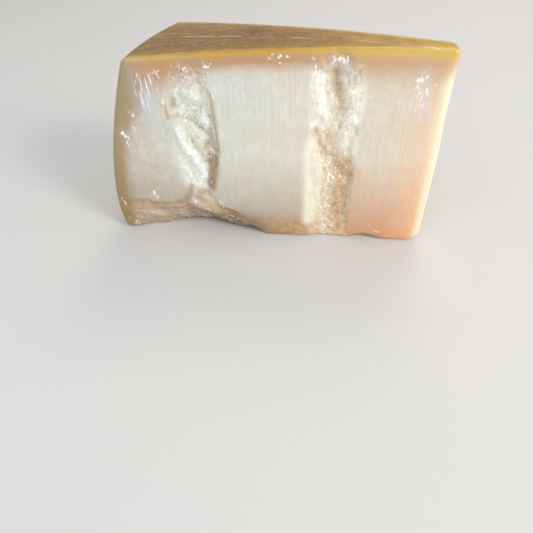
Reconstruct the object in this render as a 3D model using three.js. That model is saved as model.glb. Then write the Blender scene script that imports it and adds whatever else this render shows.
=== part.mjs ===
// A chunk of parmesan: a narrow wedge of a wheel that was first halved level.
// Units are millimetres and +Z is up. The wheel's flat rind is on top, its bulging
// side rind at the left (-X), the blunt tip near the wheel's axis at the right (+X).
// The front cut face lies along X and looks to -Y. It rests on the level cut.
// Knife-cut bands alternate with bands where the cheese split, which are craggy.

import * as THREE from 'three';
import { mergeVertices } from 'three/addons/utils/BufferGeometryUtils.js';

// The wheel that the wedge was cut from
const FACE_RADIUS = 188;      // flat rind face
const BELLY_RADIUS = 214;     // widest ring of the side rind
const BELLY_HEIGHT = 14;      // of that ring, above the level cut
const BELLY_POWER = 1.6;      // how fast the side rind curves in above the ring
const RIND_SWELL = 1.4;       // the side rind bows out by this between the two cuts
const SWELL_FADE = 4;         // power by which that bow dies out towards the tip

// The wedge
const WEDGE_ANGLE = THREE.MathUtils.degToRad(20.5);
const TIP_DISTANCE = 28.7;    // from the wheel's axis to the blunt tip
const TIP_SWELL = 1.0;        // the tip's lower half stands out this much more
const TIP_SWELL_TOP = 80;     // height where the swelling has faded out
const TIP_SWELL_FULL = 55;
const HEIGHT_AT_RIND = 105;
const HEIGHT_AT_TIP = 108;
const TOP_CROWN = 2;          // the flat rind is a little higher in the middle
const LENGTH = BELLY_RADIUS - TIP_DISTANCE;
const RIND_LEAN = BELLY_RADIUS - FACE_RADIUS;

// How far each edge is rounded: along the wedge, into its depth, and in height
const CUT_EDGE = 1.6;         // into the depth, all round both cut faces
const RIND_EDGE = 2.2;        // top and side rind meeting
const FOOT_EDGE = 2.0;        // underside
const RIND_FOOT_CORNER = 3.5; // low corner at the side rind
const TIP_EDGE = 2.6;         // upright edges of the tip
const TIP_FOOT_CORNER = 8;    // low corner at the tip
const CORNER_REACH = 22;      // over which an edge grows into its corner

// The two cut faces. Places along a face are measured from the belly ring towards
// the tip. bands are where the cheese split instead of being cut: deepest is where
// across the band the floor is lowest. brokenEdge is the low edge that broke away,
// as [along, height of the lip, how far the foot stands back under it]. lumps are
// flakes left standing a little proud.
const FRONT = {
  bands: [
    { left: 41, right: 70.5, foot: 25, head: 104, deepest: 0.80, depth: 5.2, crag: 1.5, seed: 3 },
    { left: 119, right: 145.5, foot: 48, head: 106, deepest: 0.48, depth: 2.8, crag: 1.5, seed: 8 },
    { left: 121, right: 145.0, foot: -12, head: 58, deepest: 0.74, depth: 3.8, crag: 1.1, seed: 11 },
  ],
  brokenEdge: [
    [0, 23, 0], [20, 22, 6.5], [40, 18, 12.4], [46, 21.5, 13.5], [58, 17, 14.8], [65, 14.5, 11.3],
    [72, 17.5, 7.7], [84, 7, 7.4], [96, 3, 0], [140, 3, 0], [152, 5, 4], [168, 3, 0], [188, 3, 0],
  ],
  lumps: [{ along: 53, height: 24, reach: 11, flatness: 1.6, proud: 2.2 }],
  uneven: { amount: 0.35, width: 40, height: 60, seed: 40 },
};
const BACK = {
  bands: [
    { left: 58, right: 88, foot: -14, head: 104, deepest: 0.34, depth: 4.4, crag: 1.5, seed: 21 },
    { left: 128, right: 150, foot: 20, head: 106, deepest: 0.62, depth: 2.6, crag: 1.1, seed: 27 },
  ],
  brokenEdge: [[0, 4, 0], [30, 6, 2], [70, 12, 7], [96, 9, 5], [130, 4, 0], [188, 4, 0]],
  lumps: [],
  uneven: { amount: 0.5, width: 35, height: 50, seed: 50 },
};
const BAND_FADE = 12;         // height over which a band fades in and out
const BORDER_EASE = 0.12;     // share of a band's width where its roughness eases in
const WANDER = { amount: 1.6, height: 14 };   // how far and how often a border strays
const CRAG = { size: 9, slant: 0.45, lean: 0.3, stretch: 1.25, finer: 2.2, coarseShare: 0.65 };
const RELIEF_FADE = 2;        // power by which relief dies out towards the other face

// Fineness of the surface: columns between the borders of the bands, rows, layers
const COLUMN_GROUPS = [[0, 41, 7], [41, 71, 12], [71, 119, 8], [119, 146, 11], [146, LENGTH, 8]];
const ROWS = 30;
const LAYERS = 12;
const EDGE_CROWDING = 0.55;   // 0 spaces rows and layers evenly, 1 crowds them at edges

const RIND_GOLD = 0xb8965a;

const lerp = THREE.MathUtils.lerp;
const smoothstep = THREE.MathUtils.smoothstep;

// Repeatable draw between 0 and 1 for a lattice point
function draw(column, row, seed) {
  const wave = Math.sin(column * 127.1 + row * 311.7 + seed * 74.7) * 43758.5453;
  return wave - Math.floor(wave);
}

// Smooth noise between -1 and 1 over a lattice of unit cells
function noise(across, up, seed) {
  const column = Math.floor(across);
  const row = Math.floor(up);
  const easeAcross = smoothstep(across - column, 0, 1);
  const easeUp = smoothstep(up - row, 0, 1);
  const low = lerp(draw(column, row, seed), draw(column + 1, row, seed), easeAcross);
  const high = lerp(draw(column, row + 1, seed), draw(column + 1, row + 1, seed), easeAcross);
  return 2 * lerp(low, high, easeUp) - 1;
}

// Crags: slanted sharp-crested noise of two sizes, between about -1 and 1
function crags(along, height, seed) {
  const across = (along + CRAG.slant * height) / CRAG.size;
  const up = (height - CRAG.lean * along) / (CRAG.stretch * CRAG.size);
  const coarse = 1 - 2 * Math.abs(noise(across, up, seed));
  const fine = 1 - 2 * Math.abs(noise(CRAG.finer * across, CRAG.finer * up, seed + 1));
  return lerp(fine, coarse, CRAG.coarseShare);
}

// Depth that a split band takes off the cut face at a place on it
function bandRelief(band, along, height) {
  const stray = WANDER.amount * noise(height / WANDER.height, 0, band.seed);
  const across = (along - band.left - stray) / (band.right - band.left);
  if (across <= 0 || across >= 1) return 0;
  const floor = across < band.deepest
    ? smoothstep(across, 0, band.deepest)
    : 1 - smoothstep(across, band.deepest, 1);
  const fadeIn = smoothstep(height, band.foot, band.foot + BAND_FADE);
  const fadeOut = 1 - smoothstep(height, band.head - BAND_FADE, band.head);
  const border = smoothstep(across, 0, BORDER_EASE) * (1 - smoothstep(across, 1 - BORDER_EASE, 1));
  const rough = band.crag * crags(along, height, band.seed) * border;
  return fadeIn * fadeOut * (band.depth * floor + rough);
}

// Depth that the broken low edge takes off, growing from its lip down to its foot
function breakRelief(outline, along, height) {
  const next = Math.max(1, outline.findIndex(([place]) => place >= along));
  const [fromPlace, fromLip, fromFoot] = outline[next - 1];
  const [toPlace, toLip, toFoot] = outline[next];
  const share = smoothstep(along, fromPlace, toPlace);
  const lip = lerp(fromLip, toLip, share);
  const foot = lerp(fromFoot, toFoot, share);
  return foot * Math.max(0, 1 - height / lip);
}

function lumpRelief(lump, along, height) {
  const up = lump.flatness * (height - lump.height);
  const distance = Math.hypot(along - lump.along, up) / lump.reach;
  return -lump.proud * (1 - smoothstep(distance, 0, 1));
}

// How far a cut face lies inside its plane at a place on it
function faceRelief({ bands, brokenEdge, lumps, uneven }, along, height) {
  const splits = bands.map((band) => bandRelief(band, along, height));
  const flakes = lumps.map((lump) => lumpRelief(lump, along, height));
  const waves = uneven.amount * noise(along / uneven.width, height / uneven.height, uneven.seed);
  const sum = flakes.reduce((total, flake) => total + flake, waves);
  return sum + Math.max(...splits) + Math.min(...splits) + breakRelief(brokenEdge, along, height);
}

function heightAt(along) {
  const share = Math.max(0, along - RIND_LEAN) / (LENGTH - RIND_LEAN);
  return lerp(HEIGHT_AT_RIND, HEIGHT_AT_TIP, share) + TOP_CROWN * (1 - (2 * share - 1) ** 2);
}

function lengthAt(height) {
  return LENGTH + TIP_SWELL * (1 - smoothstep(height, TIP_SWELL_FULL, TIP_SWELL_TOP));
}

// How far the side rind stands in from the belly ring at a height
function rindInset(height) {
  const above = Math.abs(height - BELLY_HEIGHT) / (HEIGHT_AT_RIND - BELLY_HEIGHT);
  return RIND_LEAN * above ** BELLY_POWER;
}

// Place along the wedge of each column: the end groups stretch to rind and tip
function alongOf(column, inset, length) {
  let first = 0;
  for (const [start, end, count] of COLUMN_GROUPS) {
    if (column <= first + count) {
      const from = start === 0 ? inset : start;
      const to = end === LENGTH ? length : end;
      return lerp(from, to, (column - first) / count);
    }
    first += count;
  }
  return length;
}

// Rounds one coordinate's position between two limits: gives the clamped core
// place and the signed share of the edge radius that lies outside the core
function edgeShare(place, size, lowRadius, highRadius) {
  if (place < lowRadius) return { core: lowRadius, share: place / lowRadius - 1, radius: lowRadius };
  if (place > size - highRadius) {
    const core = size - highRadius;
    return { core, share: (place - core) / highRadius, radius: highRadius };
  }
  return { core: place, share: 0, radius: 0 };
}

// Moves a place on the sharp-edged block onto the block with rounded edges
function roundEdges(place, size) {
  const nearTip = 1 - smoothstep(size.along - place.along, 0, CORNER_REACH);
  const nearRind = 1 - smoothstep(place.along, 0, CORNER_REACH);
  const nearFoot = 1 - smoothstep(place.height, 0, CORNER_REACH);
  const footRadius = FOOT_EDGE + nearTip * (TIP_FOOT_CORNER - FOOT_EDGE)
    + nearRind * (RIND_FOOT_CORNER - FOOT_EDGE);
  const rindRadius = lerp(RIND_EDGE, RIND_FOOT_CORNER, nearFoot);
  const tipRadius = lerp(TIP_EDGE, TIP_FOOT_CORNER, nearFoot);
  const along = edgeShare(place.along, size.along, rindRadius, tipRadius);
  const depth = edgeShare(place.depth, size.depth, CUT_EDGE, CUT_EDGE);
  const height = edgeShare(place.height, size.height, footRadius, RIND_EDGE);
  const length = Math.hypot(along.share, depth.share, height.share) || 1;
  const moved = ({ core, share, radius }) => core + (share / length) * radius;
  return { along: moved(along), depth: moved(depth), height: moved(height) };
}

// Shares of the depth and the height at which layers and rows lie, closer at edges
function edgedShare(index, count) {
  const even = index / count;
  return even - (EDGE_CROWDING * Math.sin(2 * Math.PI * even)) / (2 * Math.PI);
}

function placeVertex(column, layer, row) {
  const roughHeight = edgedShare(row, ROWS) * heightAt(LENGTH / 2);
  const inset = rindInset(roughHeight);
  const length = lengthAt(roughHeight);
  const alongFromBelly = alongOf(column, inset, length);
  const fullHeight = heightAt(alongFromBelly);
  const arc = (BELLY_RADIUS - alongFromBelly) * WEDGE_ANGLE;
  const size = { along: length - inset, depth: arc, height: fullHeight };
  const sharp = {
    along: alongFromBelly - inset,
    depth: edgedShare(layer, LAYERS) * arc,
    height: edgedShare(row, ROWS) * fullHeight,
  };
  const round = roundEdges(sharp, size);
  const along = round.along + inset;
  const depthShare = round.depth / arc;
  const angle = depthShare * WEDGE_ANGLE;
  const tipness = along / LENGTH;
  const bow = 4 * depthShare * (1 - depthShare) * (1 - tipness) ** SWELL_FADE;
  const straight = (BELLY_RADIUS - along) * lerp(1, 1 / Math.cos(angle), tipness);
  const radius = straight + RIND_SWELL * bow;
  const inward = faceRelief(FRONT, along, round.height) * (1 - depthShare) ** RELIEF_FADE;
  const forward = faceRelief(BACK, along, round.height) * depthShare ** RELIEF_FADE;
  return new THREE.Vector3(
    BELLY_RADIUS - radius * Math.cos(angle) - forward * Math.sin(WEDGE_ANGLE),
    radius * Math.sin(angle) + inward - forward * Math.cos(WEDGE_ANGLE),
    round.height,
  );
}

function chunkGeometry() {
  const columns = COLUMN_GROUPS.reduce((sum, [, , count]) => sum + count, 0);
  const block = new THREE.BoxGeometry(1, 1, 1, columns, LAYERS, ROWS);
  block.deleteAttribute('normal');
  block.deleteAttribute('uv');
  const geometry = mergeVertices(block);
  const position = geometry.attributes.position;
  for (let i = 0; i < position.count; i += 1) {
    const column = Math.round((position.getX(i) + 0.5) * columns);
    const layer = Math.round((position.getY(i) + 0.5) * LAYERS);
    const row = Math.round((position.getZ(i) + 0.5) * ROWS);
    const { x, y, z } = placeVertex(column, layer, row);
    position.setXYZ(i, x, y, z);
  }
  geometry.computeBoundingBox();
  const { min, max } = geometry.boundingBox;
  geometry.translate(-(min.x + max.x) / 2, -(min.y + max.y) / 2, -min.z);
  geometry.computeVertexNormals();
  return geometry;
}

const cheese = new THREE.MeshStandardMaterial({ color: RIND_GOLD, roughness: 0.45, metalness: 0 });
const chunk = new THREE.Mesh(chunkGeometry(), cheese);
chunk.name = 'parmesan_chunk';

const group = new THREE.Group();
group.add(chunk);

export default group;
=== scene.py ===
# %% [markdown]
# # A film-wrapped chunk of parmesan
# The chunk is a narrow wedge of a cheese wheel that was first halved level. Its flat
# rind is on top, its side rind bulges at the left, and its two cut faces show smooth
# knife-cut bands beside bands where the cheese split and is craggy. Clear film is
# stretched tightly around it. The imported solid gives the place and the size, and this
# script makes the fine surface: first the cheese, then the film that lies on it.

# %% Load the frame
import math

import bpy
import numpy as np
from mathutils import Matrix, Vector


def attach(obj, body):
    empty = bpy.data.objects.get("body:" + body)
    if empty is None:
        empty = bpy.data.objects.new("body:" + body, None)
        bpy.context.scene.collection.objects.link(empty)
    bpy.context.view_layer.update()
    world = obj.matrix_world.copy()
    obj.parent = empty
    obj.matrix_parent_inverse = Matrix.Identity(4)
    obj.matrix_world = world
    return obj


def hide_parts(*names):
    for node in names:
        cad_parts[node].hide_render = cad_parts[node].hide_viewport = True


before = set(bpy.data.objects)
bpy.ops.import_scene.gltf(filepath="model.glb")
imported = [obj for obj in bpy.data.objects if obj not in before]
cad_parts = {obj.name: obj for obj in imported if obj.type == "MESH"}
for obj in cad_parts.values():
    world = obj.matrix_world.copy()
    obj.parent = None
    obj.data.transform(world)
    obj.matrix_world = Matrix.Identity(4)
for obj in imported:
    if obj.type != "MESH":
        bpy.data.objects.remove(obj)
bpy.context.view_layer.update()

MM = 0.001

# %% [markdown]
# ## Camera
# A phone is held close, a little right of the middle, and looks down at the chunk. A
# camera is a place and three turns: yaw about the upright axis, pitch below the
# horizon, and a slight roll. The lens is worked out from the focal length in pixels of
# a square picture, because a lens in millimetres only means something with a sensor.

# %% Camera
PICTURE_PX = 533
FOCAL_PX = 428.7
SENSOR_MM = 36.0
CAMERA_PLACE_MM = (39.5, -244.9, 171.5)
CAMERA_YAW, CAMERA_PITCH, CAMERA_ROLL = map(math.radians, (10.84, 43.35, -4.05))

camera_data = bpy.data.cameras.new("phone")
camera_data.sensor_width = SENSOR_MM
camera_data.lens = SENSOR_MM * FOCAL_PX / PICTURE_PX
camera = bpy.data.objects.new("phone", camera_data)
bpy.context.scene.collection.objects.link(camera)
turn = (
    Matrix.Rotation(CAMERA_YAW, 4, "Z")
    @ Matrix.Rotation(math.pi / 2 - CAMERA_PITCH, 4, "X")
    @ Matrix.Rotation(CAMERA_ROLL, 4, "Z")
)
camera.matrix_world = Matrix.Translation(Vector(CAMERA_PLACE_MM) * MM) @ turn
bpy.context.scene.camera = camera
print("lens, mm:", round(camera_data.lens, 2))

# %% [markdown]
# ## Colours and shader nodes
# Hex codes are how paints and screen colours are written down, but a renderer adds up
# light, so each code is turned into linear light first. A shader tree could be clicked
# together. Here one small function adds a node, sets it and links it, whatever its
# kind, because a tree written that way reads from top to bottom like a recipe.

# %% Colours and shader nodes
def to_linear(code, alpha=1.0):
    """sRGB hex such as "#E6DCC0" to the linear colour that Blender's sockets take."""
    channels = [int(code[i:i + 2], 16) / 255 for i in (1, 3, 5)]
    bent = [c / 12.92 if c <= 0.04045 else ((c + 0.055) / 1.055) ** 2.4 for c in channels]
    return (*bent, alpha)


def add(tree, kind, inputs=None, stops=(), **settings):
    """Adds a node. Inputs are numbers, hex colours, or the nodes and sockets to link, and a
    ramp's stops are places from 0 to 1, hex colours, and how much they cover if not all."""
    made = tree.nodes.new("ShaderNode" + kind)
    for name, value in settings.items():
        setattr(made, name, value)
    for number, (place, code, *cover) in enumerate(stops):
        elements = made.color_ramp.elements
        element = elements[number] if number < 2 else elements.new(place)
        element.position, element.color = place, to_linear(code, *cover)
    for name, value in (inputs or {}).items():
        socket = made.inputs[name] if isinstance(name, int) else next(
            s for s in made.inputs if s.enabled and s.name == name)
        if isinstance(value, bpy.types.Node):
            value = next(s for s in value.outputs if s.enabled)
        if isinstance(value, bpy.types.NodeSocket):
            tree.links.new(value, socket)
        else:
            socket.default_value = to_linear(value) if isinstance(value, str) else value
    return made


def new_material(name):
    """A material with an empty tree, and that tree."""
    material = bpy.data.materials.new(name)
    material.use_nodes = True
    material.node_tree.nodes.clear()
    return material, material.node_tree


print("#808080 in linear light:", round(to_linear("#808080")[0], 3))

# %% [markdown]
# ## Floor
# A plain pale table shows where the chunk touches down and sends soft light back up
# under its edges. Matt paint, roughness 0.7, keeps it from mirroring the chunk. One flat
# sheet does, as nothing on it is looked at. It lies a hair below the chunk, so that the
# two surfaces don't fight over which is in front.

# %% Floor
FLOOR_HALF, FLOOR_DROP = 3.0, 0.0004

table_material, tree = new_material("pale_table")
table = add(tree, "BsdfPrincipled", {"Base Color": "#DAD9D7", "Roughness": 0.7})
add(tree, "OutputMaterial", {"Surface": table})
mesh = bpy.data.meshes.new("floor")
corners = [(-FLOOR_HALF, -FLOOR_HALF), (FLOOR_HALF, -FLOOR_HALF),
           (FLOOR_HALF, FLOOR_HALF), (-FLOOR_HALF, FLOOR_HALF)]
mesh.from_pydata([(x, y, -FLOOR_DROP) for x, y in corners], [], [(0, 1, 2, 3)])
mesh.materials.append(table_material)
floor = bpy.data.objects.new("floor", mesh)
bpy.context.scene.collection.objects.link(floor)
print("floor, m:", 2 * FLOOR_HALF, "square")

# %% [markdown]
# ## Light
# Cheese looks waxy when soft light wraps round it and a little light comes through its
# thin edges. So there is a broad key light at the right, low enough to graze the crags,
# a cool fill from the left as from a window, and a warm light high behind. Area lights
# are used because film needs wide bright shapes to mirror.

# %% Light
AIM = Vector((0, 0, 0.05))
LIGHTS = [   # name, place in metres, size in metres, watts, colour
    ("key", (1.25, -0.78, 0.80), 0.5, 15.5, "#FFFDFB"),
    ("window", (-0.55, -0.85, 1.00), 0.9, 3.0, "#D8E6FF"),
    ("back", (0.30, 1.00, 1.40), 0.7, 6.5, "#FFF2E0"),
]
for name, place, size, watts, colour in LIGHTS:
    data = bpy.data.lights.new(name, "AREA")
    data.size, data.energy, data.color = size, watts, to_linear(colour)[:3]
    light = bpy.data.objects.new(name, data)
    light.location = place
    light.rotation_euler = (AIM - light.location).to_track_quat("-Z", "Y").to_euler()
    bpy.context.scene.collection.objects.link(light)

world = bpy.data.worlds.new("studio")
world.use_nodes = True
world.node_tree.nodes.clear()
sky = add(world.node_tree, "Background", {"Color": "#F0F1F2", "Strength": 0.66})
add(world.node_tree, "OutputWorld", {"Surface": sky})
bpy.context.scene.world = world
bpy.context.scene.view_settings.view_transform = "Standard"
print("watts in all:", sum(watts for *_, watts, _ in LIGHTS))

# %% [markdown]
# ## The wedge in numbers
# The same driving sizes as the solid, in millimetres. Places on a cut face are measured
# along from the belly ring of the rind towards the tip, and up from the underside. The
# fine surface could be moulded onto the solid, but laying it out afresh from the same
# numbers keeps the knife-cut edges as crisp as they are.

# %% Sizes of the wedge
FACE_RADIUS = 188   # of the wheel, at its flat rind
BELLY_RADIUS = 214   # of the wheel, where its side bulges most
BELLY_HEIGHT = 14   # that ring, above the underside
BELLY_POWER = 1.6
RIND_SWELL = 1.4   # how much further out the side rind is between the two cuts
SWELL_FADE = 4
WEDGE_ANGLE = math.radians(20.5)
TIP_DISTANCE = 28.7   # from the wheel's axis
TIP_SWELL = 1.0
TIP_SWELL_TOP = 80
TIP_SWELL_FULL = 55
HEIGHT_AT_RIND = 105
HEIGHT_AT_TIP = 108
TOP_CROWN = 2
LENGTH = BELLY_RADIUS - TIP_DISTANCE
RIND_LEAN = BELLY_RADIUS - FACE_RADIUS

CUT_EDGE = 1.6   # the radii of the rounded edges and corners
RIND_EDGE = 2.2
FOOT_EDGE = 2.0
RIND_FOOT_CORNER = 3.5
TIP_EDGE = 2.6
TIP_FOOT_CORNER = 8
CORNER_REACH = 22   # how far along an edge the radius of a corner is felt
print("along the front cut face, mm:", round(LENGTH, 1))

# %% [markdown]
# ## Repeatable roughness
# Split cheese looks like rock: flat plates that meet in sharp edges, with crumbs on
# them. Ready-made noise modifiers can't follow the borders of a band, so the roughness
# is worked out here, point by point, from a draw that gives the same number each run.

# %% Soft noise
def smoothstep(value, low, high):
    """0 below low, 1 above high, and an eased share between."""
    share = np.clip((value - low) / (high - low), 0, 1)
    return share * share * (3 - 2 * share)


def lerp(start, end, share):
    return start + (end - start) * share


def draw(column, row, seed):
    """A repeatable draw between 0 and 1 for each lattice point."""
    # uneven steps of a sine, scaled up so far that its decimals look random
    wave = np.sin(column * 127.1 + row * 311.7 + seed * 74.7) * 43758.5453
    return wave - np.floor(wave)


def noise(across, up, seed):
    """Smooth noise between -1 and 1 over a lattice of unit cells."""
    column, row = np.floor(across), np.floor(up)
    ease_across = smoothstep(across - column, 0, 1)
    ease_up = smoothstep(up - row, 0, 1)
    low = lerp(draw(column, row, seed), draw(column + 1, row, seed), ease_across)
    high = lerp(draw(column, row + 1, seed), draw(column + 1, row + 1, seed), ease_across)
    return 2 * lerp(low, high, ease_up) - 1


print("noise at a few places:", np.round(noise(np.arange(4) / 3, np.arange(4) / 5, 1), 2))

# %% [markdown]
# ## Crags, plates and crumbs
# Three sizes of the same thing. Crags are long leaning folds, plates are tilted flakes
# with sharp edges between them, and crumbs are what is left clinging to both. One noise
# in many octaves would look like a cloud, so each size has a shape of its own.

# %% Crags, plates and crumbs
CRAG_SIZE, CRAG_SLANT, CRAG_LEAN, CRAG_STRETCH, CRAG_FINER = 9, 0.45, 0.3, 1.25, 2.2
COARSE_SHARE = 0.65


def crags(along, height, seed):
    """Long leaning folds with sharp crests, -1 to 1."""
    across = (along + CRAG_SLANT * height) / CRAG_SIZE
    up = (height - CRAG_LEAN * along) / (CRAG_STRETCH * CRAG_SIZE)
    coarse = 1 - 2 * abs(noise(across, up, seed))
    fine = 1 - 2 * abs(noise(CRAG_FINER * across, CRAG_FINER * up, seed + 1))
    return lerp(fine, coarse, COARSE_SHARE)


def plates(along, height, size, seed, slope=2.2, sharpness=14):
    """Tilted plates that meet in sharp edges, about -1 to 1."""
    column, row = np.floor(along / size), np.floor(height / size)
    total, weights = 0, 1e-9
    for c in (column - 1, column, column + 1):
        for r in (row - 1, row, row + 1):
            across = along / size - c - draw(c, r, seed)
            up = height / size - r - draw(c, r, seed + 1)
            tilt_across = slope * (draw(c, r, seed + 2) - 0.5)
            tilt_up = slope * (draw(c, r, seed + 3) - 0.5)
            plate = 2 * draw(c, r, seed + 4) - 1 + tilt_across * across + tilt_up * up
            weight = np.exp(-sharpness * (across**2 + up**2))
            total = total + weight * plate
            weights = weights + weight
    return total / weights


def crumbs(along, height, size, seed):
    """Three octaves of noise, the coarsest of that size in millimetres."""
    octaves = [noise(along / size * 2**n, height / size * 2**n, seed + n) / 2**n for n in range(3)]
    return sum(octaves) / 1.75


print("plates at a few places:", np.round(plates(np.arange(4.0), np.arange(4.0), 7, 1), 2))

# %% [markdown]
# ## The left split
# A cheese knife first cuts a band smoothly, and then the wedge is prised off, so the
# next band splits. Each split band has a left and a right border, as places (up,
# along), and a chart of how deep it lies inside the flat cut at some heights, in
# millimetres. It could be sculpted by hand, but a chart can be mended a number at a
# time. This split has a hollow under its head and a pale slab that leans to the right.

# %% Left split
LEFT_BAND = dict(
    left=[(28, 50), (36, 45.5), (46, 43), (58, 44), (74, 44.5), (80, 43.4), (90, 46), (98, 48)],
    right=[(28, 62.5), (33, 64), (38, 65.5), (44, 67), (50, 69.8), (55, 70.8), (98, 70)],
    foot=22, head=106, crag=0.3, seed=3, ease=(0.4, 0.08),
    across=(0, 0.15, 0.3, 0.45, 0.6, 0.75, 0.9, 1),
    chart={
        104: (0, 0.2, 0.4, 0.5, 0.5, 0.4, 0.2, 0),
        96: (0, 0.4, 0.9, 0.9, 1.0, 1.0, 0.5, 0),
        90: (0, 0.8, 1.4, 0.8, 0.9, 1.2, 0.7, 0),
        85: (0, 1.0, 1.6, 0.9, 1.1, 1.6, 1.0, 0),
        79: (0, 1.2, 1.2, 1.5, 1.8, 1.5, 1.6, 0),
        75.5: (0, 1.5, 1.9, 2.3, 2.1, 1.5, 2.1, 0),
        72.5: (0, 0.6, 1.3, 2.5, 2.5, 1.8, 2.4, 0),
        68: (0, 0.6, 1.2, 2.0, 2.8, 2.8, 2.6, 0),
        64: (0, 0.8, 1.5, 2.4, 2.8, 3.4, 2.8, 0),
        59: (0, 0.8, 1.7, 3.0, 3.0, 3.4, 2.8, 0),
        54: (0, 0.6, 1.4, 2.5, 3.8, 3.6, 3.0, 0),
        47: (0, 0.4, 1.0, 2.0, 3.2, 4.8, 3.4, 0),
        40: (0, 0.3, 0.7, 1.3, 2.4, 3.8, 4.2, 0),
        34: (0, 0.2, 0.4, 0.8, 1.4, 2.5, 3.4, 0),
        29: (0, 0.1, 0.2, 0.3, 0.6, 1.2, 1.8, 0),
        24: (0, 0, 0, 0, 0, 0, 0, 0),
    },
)
print("left split, deepest, mm:", max(map(max, LEFT_BAND["chart"].values())))

# %% [markdown]
# ## The right split
# The second split runs from the crust down to the foot. It is a trough, deepest beside
# its left wall, with a rim across it halfway up, below which it is deeper. Its chart has
# fewer heights than the other, because it changes less on the way down.

# %% Right split
RIGHT_BAND = dict(
    left=[(0, 116.5), (45, 117.5), (60, 119), (98, 119.5)],
    right=[(0, 143.5), (50, 144.4), (75, 145), (90, 146), (98, 144)],
    foot=-20, head=107, crag=0.3, seed=8, ease=(0.25, 0.06),
    across=(0, 0.2, 0.35, 0.5, 0.65, 0.8, 0.93, 1),
    chart={
        106: (0, 0.4, 0.6, 1.0, 0.5, 0.3, 0.2, 0),
        98: (0, 1.0, 2.2, 2.8, 1.4, 0.7, 0.4, 0),
        90: (0, 1.0, 2.4, 3.2, 1.6, 0.8, 0.4, 0),
        82: (0, 1.1, 2.3, 2.9, 1.6, 0.8, 0.5, 0),
        74: (0, 0.9, 1.5, 2.0, 1.6, 0.8, 0.5, 0),
        67: (0, 1.0, 2.4, 1.9, 2.2, 1.1, 0.5, 0),
        60: (0, 0.8, 2.1, 1.7, 1.5, 1.0, 0.6, 0),
        54: (0, 1.2, 2.4, 2.8, 2.7, 2.2, 1.5, 0),
        40: (0, 1.2, 2.6, 3.2, 3.1, 2.5, 1.6, 0),
        28: (0, 1.1, 2.4, 3.0, 3.2, 2.6, 1.6, 0),
        14: (0, 0.9, 2.0, 2.6, 2.5, 2.0, 1.4, 0),
        0: (0, 0.8, 1.6, 2.0, 1.9, 1.6, 1.1, 0),
    },
)
print("right split, deepest, mm:", max(map(max, RIGHT_BAND["chart"].values())))

# %% [markdown]
# ## Front cut face
# Grooves show where two flakes meet, and ridges where one stands proud. They are bent
# lines of (along, up), because a line can cross a border that a chart would blur. At
# the foot the cheese broke away under a lip, all but one flake that is left proud.

# %% Front cut face
LEFT_GROOVE = [(50.3, 33), (47.6, 27), (44, 22.5), (40, 20.4)]
FLAKE_GROOVE = [(55, 29), (59.3, 28.4), (62.6, 24.5), (64.3, 20.5), (66.5, 14.5)]
LEDGE = [(6, 19), (19.8, 21), (24, 19.3), (31.8, 19.2), (40, 20.4)]
LOWER_LEDGE = [(35.8, 15.6), (45.4, 16.1), (53.9, 15.8), (60.6, 12.2), (72.9, 5.7)]
LOBE_EDGE = [(67.5, 18.1), (74.7, 15.6), (79.6, 11.6), (83.6, 6.5)]
SLAB_LIP = [(45.5, 75), (49.8, 76), (53.8, 75.2), (58, 71.5), (62, 69)]
SLAB_CREST = [(48.5, 68), (51, 59), (55, 53), (57.5, 47), (60, 40)]
SLAB_SEAM = [(54, 61.5), (57, 56), (60, 51)]
HOLLOW_RIM = [(123, 70), (126.3, 60), (129.6, 55), (134, 54.3)]
FRONT = dict(
    bands=[LEFT_BAND, RIGHT_BAND],
    broken_edge=[   # along, height of the lip, depth at the foot
        (0, 23, 0), (20, 22, 6.5), (40, 18, 12.4), (46, 21.5, 13.5), (58, 17, 14.8),
        (65, 14.5, 11.3), (72, 17.5, 7.7), (84, 7, 7.4), (96, 3, 0), (140, 3, 0), (152, 5, 4),
        (168, 3, 0), (188, 3, 0),
    ],
    lumps=[dict(along=54, height=21.5, reach=10, flatness=1.7, proud=0.6)],
    strokes=[   # depth, half width, line. A ridge has a negative depth
        (1.0, 1.6, LEFT_GROOVE), (1.2, 2.0, FLAKE_GROOVE), (1.0, 1.8, LEDGE),
        (0.8, 1.5, LOWER_LEDGE), (1.2, 1.7, LOBE_EDGE), (0.6, 1.1, SLAB_LIP),
        (-1.0, 2.2, SLAB_CREST), (0.8, 1.4, SLAB_SEAM), (0.7, 1.4, HOLLOW_RIM),
        (-0.6, 2.8, [(48.7, 23.2), (56.7, 21.3), (63.6, 15.5)]),
        (1.0, 0.9, [(43.8, 82), (44.6, 75)]), (1.0, 1.6, [(49, 86), (48.5, 82)]),
        (1.2, 2.2, [(127, 104.5), (132, 107), (137, 104)]),
    ],
    uneven=dict(amount=0.35, width=40, height=60, seed=40),
)
print("strokes on the front:", len(FRONT["strokes"]))

# %% [markdown]
# ## The back's splits
# The same cuts made the other side. It gets two bands of the same kind, a broad one
# with deep ledges and a narrow one, each charted as those in front, so that the back
# is as finished as the front without copying it.

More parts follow.
